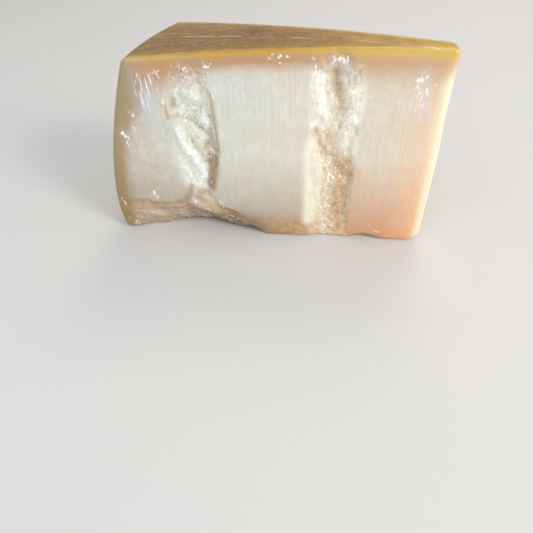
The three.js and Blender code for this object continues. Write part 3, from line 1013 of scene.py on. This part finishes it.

# %% [markdown]
# ## Paste
# Aged hard cheese is a dense, fine-grained paste. It is cream in the middle of the wheel, darker at
# the rind end and lighter and warmer towards the tip, partly its own tone and partly painted light
# from the key at the right. A painted warm shade darkens the foot, and a painted glow lies near the
# thin tip. A knife leaves it with fine upright streaks about 1 mm apart. One flat cream would look
# like plaster, so clouds of three sizes and the streaks lie over it.

# %% Paste
# Ground of the paste, darker at the rind end and lighter towards the tip: its own tone with painted
# light from the key at the right.
paste_and_key_light = add(tree, "ValToRGB", {"Fac": tipward}, [
    (0.0, "#CEC6B6"), (0.35, "#DFE2D5"), (0.68, "#E7E1D2"), (1.0, "#EAD6BC"),
])
# Painted warm shade at the foot, laid over the paste below 55 mm.
painted_foot_shade = add(tree, "ValToRGB", {"Fac": tipward}, [
    (0.0, "#A88C70"), (0.5, "#B09A7E"), (0.78, "#CA8A54"), (1.0, "#DE8840"),
])
paste = coated(tree, paste_and_key_light, [
    (clouds[16], (0.35, 0.7), 0.35, "#DCD3C0"), (clouds[9], (0.5, 0.75), 0.42, "#EEF2EA"),
    (clouds[3], (0.48, 0.72), 0.35, "#F0F3EC"), (clouds[1.8], (0.58, 0.72), 0.3, "#F6F4EA"),
    (axes["Z"], (55, 0), 0.85, painted_foot_shade), (streak, (0.45, 0.75), 0.27, "#C9BCA2"),
    # From X 70 to 86 mm a painted warm glow of light through the thin tip; the last coat is the tip's
    # end face.
    (axes["X"], (70, 86), 0.4, "#FFD0A2"), (axes["X"], (90.5, 92), 0.9, "#D6BE98"),
])
print("nodes in the cheese's tree so far:", len(tree.nodes))

# %% [markdown]
# ## Split paste
# Hard cheese breaks between its grains, so where it split it is rough and grainy. Its high spots get
# a painted highlight and its hollows a painted tan shade. Low down towards the tip it is creamier.
# Shade painted for one light would only suit that light, so the painted highlight and shade follow
# the depth worked out for each point.

# %% Split paste
past_middle = add(tree, "MapRange", {"Value": tipward, "From Min": 0.45, "From Max": 0.7})
low_down = add(tree, "MapRange", {"Value": axes["Z"], "From Min": 110, "From Max": 46})
past_middle = add(tree, "Math", {0: past_middle, 1: low_down}, operation="MULTIPLY")
GRAINS = {   # name: cloud size in mm, its colours, and its colours low down towards the tip
    "grainy": (1.8, [(0.32, "#D4CEA8"), (0.60, "#F0F1E2")], [(0.32, "#E6D0A8"), (0.60, "#F9F0DA")]),
    # The wet tan paste also carries painted shade in grooves and along walls.
    "wet_tan_and_shade": (3, [(0.33, "#B0885A"), (0.70, "#D0B08A")], [(0.33, "#C89656"), (0.70, "#E6C490")]),
}
pastes = {}
for name, (size, *ramps) in GRAINS.items():
    here, at_tip = (add(tree, "ValToRGB", {"Fac": clouds[size]}, stops) for stops in ramps)
    pastes[name] = add(tree, "Mix", {"Factor": past_middle, "A": here, "B": at_tip},
                       data_type="RGBA")
painted_high_spot_light = add(tree, "ValToRGB", {"Fac": tipward}, [(0.3, "#EAF0E2"), (0.7, "#F8F7EE")])
split_paste = coated(tree, pastes["grainy"], [
    # Painted highlight on the high spots and painted tan shade in the hollows.
    (marks["hollow_mm"], (0.0, -1.0), 0.8, painted_high_spot_light),
    (marks["hollow_mm"], (0.2, 1.8), 0.75, "#BCA676"),
])
print("pastes that change towards the tip:", list(pastes))

# %% [markdown]
# ## Crumbled, wet and fresh paste, with painted shade and light
# Three more looks of the same paste, with painted light in them: dull brown crumbs and painted shade
# on the broken foot, which faces down; wet tan where film presses on it, with painted shade in
# grooves and along walls; and nearly white where it has just broken, with a painted highlight on the
# spots that face the lamp. They lie where the marks are, because no pattern would put them there.

# %% Crumbled, wet and fresh paste, with painted shade and light
# Brown of dried crumbs with painted shade on the broken foot, darkest along the lobe's edge.
crumbs_and_shade = add(tree, "ValToRGB", {"Fac": tipward}, [
    (0.05, "#BE9E80"), (0.26, "#B49070"), (0.33, "#765020"), (0.43, "#5A3A12"), (0.6, "#98703C"),
    (0.8, "#C09A70"),
])
# Nearly white paste where it has just broken, and a painted highlight on the spots that face the
# lamp.
fresh_and_lit_paste = add(tree, "ValToRGB", {"Fac": tipward}, [
    (0.3, "#F0F4E6"), (0.62, "#FDF8E2"), (0.8, "#FFF7DC"),
])
body = coated(tree, paste, [
    (marks["split"], AS_IS, 0.9, split_paste), (marks["crumbs_and_shade"], AS_IS, 0.92, crumbs_and_shade),
    (marks["wet_and_shade"], AS_IS, 0.85, pastes["wet_tan_and_shade"]), (marks["fresh_and_lit"], AS_IS, 0.8, fresh_and_lit_paste),
])
print("nodes in the cheese's tree so far:", len(tree.nodes))

# %% [markdown]
# ## Crust
# Below the rind the paste has dried: gold right under it, then tan, fading over 8 to
# 16 mm. The top, the tip's end and the side each dried differently, so there are three
# ramps over the depth in millimetres, which cover less the deeper they go. The depth
# wavers by a millimetre, because a crust with a straight edge would look printed.

# %% Crust
CRUST_MM = 16
CRUSTS = {   # depth in mm, colour, cover
    "mid": [(0.0, "#C9A860"), (1.6, "#C8A468"), (2.8, "#C89E70"), (5.2, "#C99F78"),
            (7.4, "#CDAB8B", 0.7), (10.5, "#D8C3AC", 0.2), (16, "#E0D0BC", 0)],
    "tip": [(0.0, "#D6B052"), (2.4, "#DEBC6C"), (3.6, "#D6B078", 0.95), (5.2, "#D0A67C", 0.9),
            (7.4, "#CEAC84", 0.7), (10.5, "#D2B48E", 0.4), (16, "#DCC4A4", 0)],
    "side": [(0.0, "#A8986C"), (3.0, "#AE986F"), (6.0, "#B69C78", 0.95),
             (8.5, "#BCA382", 0.6), (11.5, "#C6AE92", 0.2), (16, "#D0BDA8", 0)],
}
waver = add(tree, "MapRange", {
    "Value": clouds[9], "From Min": 0.2, "From Max": 0.8, "To Min": -1.1, "To Max": 1.1,
})
depth = add(tree, "Math", {0: marks["crust_mm"], 1: waver}, operation="ADD")
depth = add(tree, "MapRange", {"Value": depth, "From Min": 0, "From Max": CRUST_MM})
ramps = {
    name: add(tree, "ValToRGB", {"Fac": depth}, [(mm / CRUST_MM, *rest) for mm, *rest in stops])
    for name, stops in CRUSTS.items()
}
gold = add(tree, "ValToRGB", {"Fac": tipward}, [
    (0.0, "#CABB80"), (0.2, "#CAB468"), (0.4, "#CE9F2C"), (0.7, "#CEAB40"), (1.0, "#DECA64"),
])
print("crust ramps:", {name: len(stops) for name, stops in CRUSTS.items()})

# %% [markdown]
# ## Crust over the paste
# The three ramps blend into each other, the side's darkens to a dull olive down to the
# foot, and on a split the crust is speckled with the paler grains that broke through.
# Colour and cover are blended apart, so that the paste still shows through where the
# crust fades.

# %% Crust over the paste
near_tip = add(tree, "MapRange", {"Value": tipward, "From Min": 0.6, "From Max": 0.85})
crust, cover = (ramps["mid"].outputs[n] for n in ("Color", "Alpha"))
crust = coated(tree, crust, [(depth, (0.13, 0.06), 0.9, gold)])
for share, name in ((near_tip, "tip"), (marks["side_crust"], "side")):
    crust = add(tree, "Mix", {"Factor": share, "A": crust, "B": ramps[name].outputs["Color"]},
                data_type="RGBA")
    cover = add(tree, "Mix", {"Factor": share, "A": cover, "B": ramps[name].outputs["Alpha"]})
foot = add(tree, "MapRange", {"Value": axes["Z"], "From Min": 62, "From Max": 12})
foot = add(tree, "Math", {0: foot, 1: marks["side_crust"]}, operation="MULTIPLY")
speckled = add(tree, "MapRange", {"Value": clouds[1.8], "From Min": 0.46, "From Max": 0.62})
speckled = add(tree, "Math", {0: speckled, 1: marks["split"]}, operation="MULTIPLY")
crust = coated(tree, crust, [(foot, AS_IS, 0.7, "#94783F"), (speckled, AS_IS, 0.55, "#EDDACA")])
body = coated(tree, body, [(cover, AS_IS, 1, crust)])
print("nodes in the cheese's tree so far:", len(tree.nodes))

# %% [markdown]
# ## Thin edge at the tip
# At the tip the front ends in a thin edge that light gets through from behind, so it glows: pale
# cream high up and amber at the foot. Light that goes 2 mm into the paste can't do that, and letting
# it in deeper would blur every crag, so the glow is painted into the colour of that edge, from below
# the gold down, with a painted highlight along its very rim.

# %% Thin edge at the tip
thin_edge = add(tree, "MapRange", {"Value": axes["X"], "From Min": 85.5, "From Max": 89.5})
from_front = add(tree, "MapRange", {"Value": axes["Y"], "From Min": -31, "From Max": -35})
below_gold = add(tree, "MapRange", {"Value": axes["Z"], "From Min": 105, "From Max": 92})
for limit in (from_front, below_gold):
    thin_edge = add(tree, "Math", {0: thin_edge, 1: limit}, operation="MULTIPLY")
share_up = add(tree, "MapRange", {"Value": axes["Z"], "From Max": 110})
glowing = add(tree, "ValToRGB", {"Fac": share_up}, [
    (0.05, "#FFCC88"), (0.3, "#FFDAA2"), (0.55, "#FFEABC"), (0.82, "#FFF4C8"), (0.93, "#F6D690"),
])
# Painted highlight along the very rim of the glowing edge.
glowing = coated(tree, glowing, [(axes["X"], (88, 90.4), 0.6, "#FFFBEA")])
body = coated(tree, body, [(thin_edge, AS_IS, 0.9, glowing)])
print("nodes in the cheese's tree so far:", len(tree.nodes))

# %% [markdown]
# ## Rind
# The rind is a few tenths of a millimetre of oiled, rubbed crust. On top it is brown, more golden
# towards the tip, partly its own colour and partly painted light from the right, and golden along its
# cut edges, with blotches of a few centimetres and faint wiping marks along the wedge. At the side it
# is paler and drier. Real rind is mottled at every scale, so coats of four sizes lie over it.

# %% Rind
WIPE_SCALE = (0.08, 0.32, 0.32)   # per mm, so 12 mm long and 3 mm wide
wiped = add(tree, "Mapping", {"Vector": place, "Rotation": (0, 0, 0.19), "Scale": WIPE_SCALE})
wipe = add(tree, "TexNoise", {"Vector": wiped, "Scale": 1.0, "Detail": 4.0})
edge_mm = add(tree, "Math", {0: marks["cut_mm"], 1: waver}, operation="ADD")
# Rind ramp, more golden towards the tip: its own colour with painted light from the right.
top_rind = add(tree, "ValToRGB", {"Fac": tipward}, [
    (0.0, "#8A7018"), (0.2, "#8A641A"), (0.5, "#885C24"), (0.75, "#B2822A"), (1.0, "#DAAE3E"),
])
top_rind = coated(tree, top_rind, [
    (clouds[38], (0.42, 0.7), 0.6, "#705020"), (wipe, (0.42, 0.68), 0.5, "#765424"),
    (clouds[9], (0.42, 0.62), 0.5, "#785628"), (wipe, (0.48, 0.3), 0.45, "#BE9854"),
    (clouds[3], (0.52, 0.7), 0.45, "#BA945C"), (marks["smudge"], (0.2, 0.9), 0.65, "#664222"),
    (edge_mm, (11.75, 0.5), 0.6, "#AC7C28"), (clouds[1.8], (0.56, 0.72), 0.4, "#CBA668"),
    (edge_mm, (4.6, 0.2), 0.9, gold),
])
blotchy = add(tree, "Mix", {"Factor": 0.35, "A": clouds[16], "B": clouds[3]})
side_rind = add(tree, "ValToRGB", {"Fac": blotchy}, [
    (0.36, "#AE9260"), (0.5, "#BCA274"), (0.64, "#C8B184"),
])
whole = coated(tree, body, [
    (marks["side_rind"], AS_IS, 1, side_rind), (marks["top_rind"], AS_IS, 1, top_rind),
])
print("nodes in the cheese's tree so far:", len(tree.nodes))

# %% [markdown]
# ## Cheese
# Hard cheese lets about 2 mm of light in, red furthest, which is what makes it look
# like cheese and not like plaster. Roughness 0.55 and IOR 1.45 are those of a fatty
# paste, with less of a mirror than usual, as the film over it takes the shine. The bump
# is the knife's streaks on a cut, grains of 1 to 2 mm on a split, and rubbing on the
# rind. Anything larger is real shape.

# %% Cheese
grain = add(tree, "Math", {0: clouds[0.9], 1: 0.7, 2: clouds[1.8]}, operation="MULTIPLY_ADD")
grain = add(tree, "Math", {0: grain, 1: 0.75}, operation="MULTIPLY")
scored = add(tree, "MapRange", {
    "Value": clouds[38], "From Min": 0.35, "From Max": 0.65, "To Max": 0.35,
})
relief = add(tree, "Math", {0: streak, 1: scored}, operation="MULTIPLY")
rubbed = add(tree, "Math", {0: clouds[3], 1: 0.4}, operation="MULTIPLY")
on_rind = add(tree, "Math", {0: marks["top_rind"], 1: marks["side_rind"]}, operation="MAXIMUM")
for share, other in ((marks["split"], grain), (on_rind, rubbed)):
    relief = add(tree, "Mix", {"Factor": share, "A": relief, "B": other})
bump = add(tree, "Bump", {"Height": relief, "Strength": 0.8, "Distance": 0.7 * MM})
paste_shader = add(tree, "BsdfPrincipled", {
    "Base Color": whole, "Roughness": 0.55, "IOR": 1.45, "Specular IOR Level": 0.2,
    "Subsurface Weight": 0.5, "Subsurface Radius": (1.0, 0.72, 0.45),
    "Subsurface Scale": 2.2 * MM, "Normal": bump,
})
add(tree, "OutputMaterial", {"Surface": paste_shader})
cheese = make_mesh("cheese", points, quads, cheese_material, cheese_marks)

# %% [markdown]
# ## Film's surface
# Stretch film for food is about 10 micrometres of clear plastic. It clings to the smooth
# bands and spans the pits of the crags. It is a second skin made with the same layout,
# draped by softening, and only ever lifted. Cloth simulation would take minutes and
# wouldn't place the pleats.

# %% Film's surface
FILM_GROUPS = [
    (0, 26, 24), (26, 49, 74), (49, 71.5, 44), (71.5, 118, 46), (118, 146, 52), (146, LENGTH, 40),
]
FILM_LAYERS, FILM_ROWS = 22, 134
DRAPE_PASSES, DRAPE_ROUNDS = 3, 4

film_points, film_quads, film_known = shell(FILM_GROUPS, FILM_LAYERS, FILM_ROWS)
film_points = film_points + shift
film_points[:, 2] = np.maximum(film_points[:, 2], CLEAR_OF_FLOOR)
for _ in range(DRAPE_PASSES):
    film_normals = point_normals(film_points, film_quads)
    lift = np.maximum(0, hollowness(film_points, film_quads, film_normals, DRAPE_ROUNDS))
    film_points = film_points + lift[:, None] * film_normals
film_normals = point_normals(film_points, film_quads)
print("the last pass still lifted the film by up to", round(lift.max(), 2), "mm")

# %% [markdown]
# ## Pleats and creases
# Where film was pulled it gathers in fine pleats, and each is a straight ridge with a
# rounded section that dies out at its ends. Short creases lie in every direction round
# a few places. The long ones are placed one by one, because they are what is noticed,
# and the rest are drawn from a seeded generator, the same each run.

# %% Pleats and creases
rng = np.random.default_rng(5)
CRINKLES = [   # along, up, spread, how many
    (19, 63, 5, 14), (24, 71, 5, 6), (27, 26, 3.5, 8), (69.5, 101.5, 3, 12), (104, 106, 4, 8),
    (172, 88, 9, 14), (57, 90, 6, 6),
]
FINE_PLEATS = dict(count=12, first=28.5, apart=1.6)
LONG_CREASES = [   # strength, from, to
    (1.1, (37.8, 99.3), (38.2, 85.7)), (1.0, (39.9, 99.3), (40.9, 92)),
    (0.9, (32.9, 98), (32.7, 92)), (0.8, (35.1, 98), (34.7, 88)), (0.8, (43.3, 101), (46, 95)),
    (0.6, (154.5, 13), (159, 7)), (0.9, (158.5, 7.5), (166, 5)),
]


def ridge(along, height, start, end, width):
    """1 on the line from start to end, falling off across it and towards its ends."""
    run = np.array(end, float) - np.array(start, float)
    length = math.hypot(*run)
    ahead = ((along - start[0]) * run[0] + (height - start[1]) * run[1]) / length**2
    aside = ((along - start[0]) * run[1] - (height - start[1]) * run[0]) / length
    ends = smoothstep(ahead, 0, 0.25) * (1 - smoothstep(ahead, 0.75, 1))
    return np.exp(-((aside / width) ** 2)) * ends


def crossing_lines():
    """Strength, start, end and half width of every pleat and crease."""
    for strength, start, end in LONG_CREASES:
        yield strength, start, end, 0.3
    for n in range(FINE_PLEATS["count"]):
        foot = FINE_PLEATS["first"] + FINE_PLEATS["apart"] * n + rng.uniform(-0.5, 0.5)
        high, low = rng.uniform(90, 100), rng.uniform(76, 88)
        yield rng.uniform(0.15, 0.4), (foot, high), (foot + 0.1, low), rng.uniform(0.2, 0.3)
    for along, height, spread, count in CRINKLES:
        for _ in range(count):
            middle = np.array([along, height]) + rng.normal(0, spread / 2, 2)
            lean = rng.uniform(0, math.pi)
            half = rng.uniform(0.6, 1.8) * np.array([math.cos(lean), math.sin(lean)])
            yield rng.uniform(0.4, 1), middle - half, middle + half, rng.uniform(0.22, 0.32)


print("pleats and creases:", len(LONG_CREASES) + FINE_PLEATS["count"] + sum(c[3] for c in CRINKLES))

# %% [markdown]
# ## Creased film
# The ridges are summed, made a little uneven along their length, and kept to the front.
# Then every point moves out along its normal by the gap and by its crease. They are
# real shape and not bump, so that they catch the light from every side.

# %% Creased film
GAP = 0.28
PLEAT_HEIGHT = 0.35
along, height = film_known["along"], film_known["height"]
crease = sum(
    strength * ridge(along, height, start, end, width)
    for strength, start, end, width in crossing_lines()
)
crease = crease * (0.85 + 0.45 * noise(along / 2, height / 3, 91))
front = np.clip(-film_normals[:, 1], 0, 1) ** 2 * (film_known["depth_share"] < 0.2)
crease = np.clip(crease * front, 0, 1.2)
film_points = film_points + film_normals * (GAP + PLEAT_HEIGHT * crease)[:, None]
print("creased share of the film:", round(float((crease > 0.3).mean()), 3))

# %% [markdown]
# ## Where film looks white
# Clear film is only seen where it mirrors a light or is folded up very small. Its glints are painted
# white: dense on the crumbly spots that face the light, along the pulled pleats and on a few crinkled
# spots. Film that stands off the cheese is faintly milky, and a few patches carry a painted glare of
# the window. Such spots are painted on it as the marks of the cheese are.

# %% Where film looks white
# Faint haze, and painted glare where the film mirrors the window.
HAZE_AND_GLARE_MARKS = [
    (0.22, 9.0, [(80, 92), (88, 82)]), (0.45, 5.0, [(33, 96), (38, 74)]),
    (0.35, 3.6, [(130, 103), (136, 101)]), (0.12, 8.0, [(58, 92), (62, 76)]),
    (0.15, 7.0, [(124, 96), (126, 80)]), (0.20, 6.0, [(140, 78), (140, 60)]),
    (0.24, 7.0, [(172, 95), (172, 80)]), (0.05, 5.0, [(54, 60), (60, 36)]),
]
# Painted glints along the pulled pleats.
PLEAT_GLINT_MARKS = [
    (0.75, 5.0, [(32, 97), (36, 82)]), (0.7, 4.0, [(41, 98), (43, 84)]),
    (0.85, 3.0, [(71.5, 94), (73.5, 83)]), (0.6, 6.0, [(82, 93), (84, 84)]),
    (0.5, 4.0, [(18, 90), (20, 76)]), (0.4, 8.0, [(100, 90), (104, 82)]),
]
PLEAT_GLINT_MARKS_BEHIND = [
    (0.8, 4.0, [(34, 96), (36, 84)]), (0.7, 3.0, [(92, 92), (93, 80)]),
    (0.5, 5.0, [(112, 94), (112, 84)]), (0.6, 3.0, [(154, 96), (155, 84)]),
    (0.5, 4.0, [(20, 70), (22, 56)]),
]
CRINKLE_GLINT_MARKS = [   # small crinkled spots, painted white as glints
    (0.9, 1.9, [(17.5, 66.5), (20, 63.5), (19, 60)]), (0.8, 1.0, [(23.5, 71.5), (24.5, 70)]),
    (0.62, 1.3, [(26, 27), (28.5, 25)]), (0.62, 1.6, [(3.5, 23), (5, 19)]),
    (0.62, 1.6, [(69.5, 104), (70.2, 99.5)]), (0.62, 1.2, [(101, 105.6), (111, 106)]),
    (0.62, 4.0, [(171, 95), (173, 84)]), (0.5, 1.0, [(96, 78), (96.4, 75)]),
    (0.6, 0.9, [(121, 105), (123.5, 99.5)]), (0.5, 3.0, [(12, 13), (30, 11)]),
    (0.62, 3.2, [(51, 24), (59, 18)]), (0.5, 3.0, [(62, 29), (69, 20)]),
    (0.42, 3.6, [(44, 100.5), (52, 97.5), (60, 100)]), (0.72, 4.5, [(131, 51), (132, 37)]),
    (0.62, 6.0, [(134, 46), (128, 28), (132, 10)]), (0.5, 3.0, [(26, 78), (27, 70)]),
]
SPLIT_GLINTS = [(34, 0.36), (46, 0.45), (71, 0.45), (116, 0.3)]   # along, how many on a split
print("white spots:", len(HAZE_AND_GLARE_MARKS + PLEAT_GLINT_MARKS + PLEAT_GLINT_MARKS_BEHIND + CRINKLE_GLINT_MARKS))

# %% [markdown]
# ## Marks of the film
# An amount of glints or pleats lowers the cut that noise has to pass to turn white. So
# that none at all are left where the amount is nothing, the cut is raised there.

# %% Marks of the film
CUT_SWING, CUT_RAISED, SOME = 0.24, 0.15, 0.3
SHEEN = [(-52, 20), (-5, 8)]   # where a painted sheen lies on the top, x and y


def to_cut(amount):
    """What is added to a noise, so that more of it turns white the larger the amount."""
    return CUT_SWING * amount - CUT_RAISED * (1 - smoothstep(amount, 0, SOME))


front, behind = film_known["depth_share"] < 0.2, film_known["depth_share"] > 0.8
on_split = np.interp(along, *zip(*SPLIT_GLINTS)) * film_known["split"]
glints = np.maximum.reduce([
    on_split, front * marked(FRESH_AND_LIT_MARKS + CRINKLE_GLINT_MARKS, along, height), behind * marked(FRESH_AND_LIT_MARKS_BEHIND, along, height),
])
pleat_glints = front * marked(PLEAT_GLINT_MARKS, along, height) + behind * marked(PLEAT_GLINT_MARKS_BEHIND, along, height)
sheen = stroke_share(SHEEN, film_points[:, 0], film_points[:, 1], 11.0)
film_marks = {
    "crease": crease, "top": film_known["top"],
    "glints": to_cut(glints), "pleat_glints": to_cut(pleat_glints),
    "haze_and_glare": 0.02 * (1 - film_known["top"]) + front * marked(HAZE_AND_GLARE_MARKS, along, height)
    + 0.03 * film_known["top"] * sheen,
}
print("share of the film with dense glints:", round(float((glints > 0.5).mean()), 3))

# %% [markdown]
# ## Glints and pleats
# Painted glints are about half a millimetre across: noise with finer octaves, so that they are of all
# sizes. The pleats' painted glints are the same drawn out upwards, along the pull of the film. They
# could be bump, but a bump on clear film only moves what it mirrors.

# %% Glints and pleats
GLINT_MM = 1.1   # the coarsest, with three finer octaves down to 0.14 mm
PLEAT_SCALE = (1.7, 0.3, 0.10)   # per mm, so 0.6 mm wide and 10 mm tall

film_material, tree = new_material("stretch_film")
place = add(tree, "VectorMath", {
    0: add(tree, "TexCoord").outputs["Object"], "Scale": 1 / MM,
}, operation="SCALE")
axes = add(tree, "SeparateXYZ", {"Vector": place}).outputs
marks = {name: add(tree, "Attribute", attribute_name=name).outputs["Fac"] for name in film_marks}

slanted = add(tree, "Mapping", {"Vector": place, "Rotation": (0, 0.6, 0), "Scale": (1, 1, 0.6)})
dots = add(tree, "TexNoise", {
    "Vector": slanted, "Scale": 1 / GLINT_MM, "Detail": 3.0, "Roughness": 0.65,
})
gathered = add(tree, "Mapping", {"Vector": place, "Rotation": (0, 0.05, 0), "Scale": PLEAT_SCALE})
folds = add(tree, "TexNoise", {"Vector": gathered, "Scale": 1.0, "Detail": 2.0})
print("glint and pleat sizes, mm:", GLINT_MM, [round(1 / share, 1) for share in PLEAT_SCALE])

# %% [markdown]
# ## Seam and dashes on the top
# The film is joined in a seam along the top, bent once, and short white dashes lie
# beside it, more of them towards the pinched tip. Their noise is drawn out along the
# seam, so the distance from the seam is worked out first.

# %% Seam and dashes
SEAM_SLOPE, SEAM_OFFSET, SEAM_BEND_X, SEAM_BEND = 0.196, 15.6, 38.8, 0.098
SEAM_MM = 0.5
beyond = add(tree, "Math", {0: axes["X"], 1: -SEAM_BEND_X}, operation="ADD")
beyond = add(tree, "Math", {0: beyond, 1: 0.0}, operation="MAXIMUM")
level = add(tree, "VectorMath", {0: place, 1: (SEAM_SLOPE, 1, 0)}, operation="DOT_PRODUCT")
aside = add(tree, "Math", {0: beyond, 1: SEAM_BEND, 2: level}, operation="MULTIPLY_ADD")
pulled = add(tree, "CombineXYZ", {"X": axes["X"], "Y": aside})
pulled = add(tree, "Mapping", {"Vector": pulled, "Scale": (0.11, 1.5, 1)})
dashes = add(tree, "TexNoise", {
    "Vector": pulled, "Scale": 1.0, "Detail": 3.0, "Distortion": 0.5,
})
dashed = add(tree, "MapRange", {
    "Value": axes["X"], "From Min": 20, "From Max": 85, "To Min": 0.1, "To Max": 0.17,
})
from_seam = add(tree, "Math", {0: aside, 1: SEAM_OFFSET}, operation="ADD")
from_seam = add(tree, "Math", {0: from_seam}, operation="ABSOLUTE")
seam = add(tree, "MapRange", {
    "Value": from_seam, "From Min": SEAM_MM, "From Max": 0.1, "To Max": 0.36,
})
dashed = add(tree, "Math", {0: seam, 1: dashed}, operation="MAXIMUM")
dashed = add(tree, "Math", {0: dashed, 1: marks["top"]}, operation="MULTIPLY")
print("nodes in the film's tree so far:", len(tree.nodes))

# %% [markdown]
# ## White places
# Where a pattern's noise and its amount together pass a limit, the film is white: a painted glint on
# the dots, pleats and creases, and the white of the seam and its dashes. The limit is soft over a
# twentieth, which keeps glints from looking like cut paper. Creases get a painted glint where they
# are steepest, which is what their own mark tells.

# %% White places
SOFT_LIMIT = 0.05
PATTERNS = [   # noise, its amount, where it starts to turn white
    (dots, marks["glints"], 0.68), (folds, marks["pleat_glints"], 0.75), (dashes, dashed, 0.82),
]
white = add(tree, "MapRange", {"Value": marks["crease"], "From Min": 0.30, "From Max": 0.55})
for pattern, amount, least in PATTERNS:
    reach = add(tree, "Math", {0: amount, 1: pattern}, operation="ADD")
    reach = add(tree, "MapRange", {
        "Value": reach, "From Min": least, "From Max": least + SOFT_LIMIT,
    })
    white = add(tree, "Math", {0: white, 1: reach}, operation="MAXIMUM")
print("patterns that turn the film white:", len(PATTERNS))

# %% [markdown]
# ## Haze and painted glare
# Film that stands off the cheese scatters a little light, and its marked patches also carry a painted
# glare of the window. Neither is even: they hang in soft upright streaks a few millimetres wide, as
# the film was pulled up and down. The noise of the pleats is too fine for that, so the haze has a
# noise of its own.

# %% Haze and painted glare
HAZE_SCALE = (0.5, 0.2, 0.06)   # per mm, so 2 mm wide and 17 mm tall
haze_and_glare_share = add(tree, "Mapping", {"Vector": place, "Scale": HAZE_SCALE})
haze_and_glare_share = add(tree, "TexNoise", {"Vector": haze_and_glare_share, "Scale": 1.0, "Detail": 2.0})
haze_and_glare_share = add(tree, "MapRange", {
    "Value": haze_and_glare_share, "From Min": 0.35, "From Max": 0.65, "To Min": 0.3, "To Max": 1.6,
})
haze_and_glare_share = add(tree, "Math", {0: marks["haze_and_glare"], 1: haze_and_glare_share}, operation="MULTIPLY")
print("haze streaks, mm:", [round(1 / share) for share in HAZE_SCALE])

# %% [markdown]
# ## Film
# Three looks in one sheet. Clear film lets everything through and mirrors a little, more at a grazing
# angle, as plastic of IOR 1.5 does. Milky film, for haze and painted glare, scatters half forward and
# half back. White film stands for folds and for painted glints, the lights a film mirrors, as plain
# white. A refracting material would bend the cheese's edges, which film this thin doesn't do. Film
# this clear casts no shadow either, so it is left out of shadows and bounced light.

# %% Film
HAZE_AND_GLARE_BLUE = "#DFE8FF"   # thin haze scatters blue the most, and the painted glare mirrors the cool window
ripple = add(tree, "TexNoise", {"Vector": place, "Scale": 0.5, "Detail": 3.0})
bump = add(tree, "Bump", {"Height": ripple, "Strength": 0.6, "Distance": 0.5 * MM})
clear = add(tree, "BsdfTransparent")
gloss = add(tree, "BsdfGlossy", {"Roughness": 0.18, "Normal": bump})
grazing = add(tree, "LayerWeight", {"Blend": 0.5, "Normal": bump}).outputs["Facing"]
grazing = add(tree, "Math", {0: grazing, 1: 5.0}, operation="POWER")
mirrored = add(tree, "MapRange", {"Value": grazing, "To Min": 0.04, "To Max": 0.25})
skin = add(tree, "MixShader", {0: mirrored, 1: clear, 2: gloss})
back_scattered = add(tree, "BsdfDiffuse", {"Color": HAZE_AND_GLARE_BLUE})
let_through = add(tree, "BsdfTranslucent", {"Color": HAZE_AND_GLARE_BLUE})
haze_and_glare = add(tree, "MixShader", {0: 0.5, 1: back_scattered, 2: let_through})
tipward = add(tree, "MapRange", {"Value": axes["X"], **RIND_TO_TIP})
# White of folds and painted glints, bluish at the rind end and warm towards the tip.
fold_and_glint_tint = add(tree, "ValToRGB", {"Fac": tipward}, [(0.4, "#F8FBFF"), (0.8, "#FFFCF2")])
folded_and_glinting = add(tree, "BsdfPrincipled", {"Base Color": fold_and_glint_tint, "Roughness": 0.35, "IOR": 1.5})
for share, look in ((haze_and_glare_share, haze_and_glare), (white, folded_and_glinting)):
    skin = add(tree, "MixShader", {0: share, 1: skin, 2: look})
add(tree, "OutputMaterial", {"Surface": skin})
film = make_mesh("film", film_points, film_quads, film_material, film_marks)
film.visible_shadow = film.visible_diffuse = False
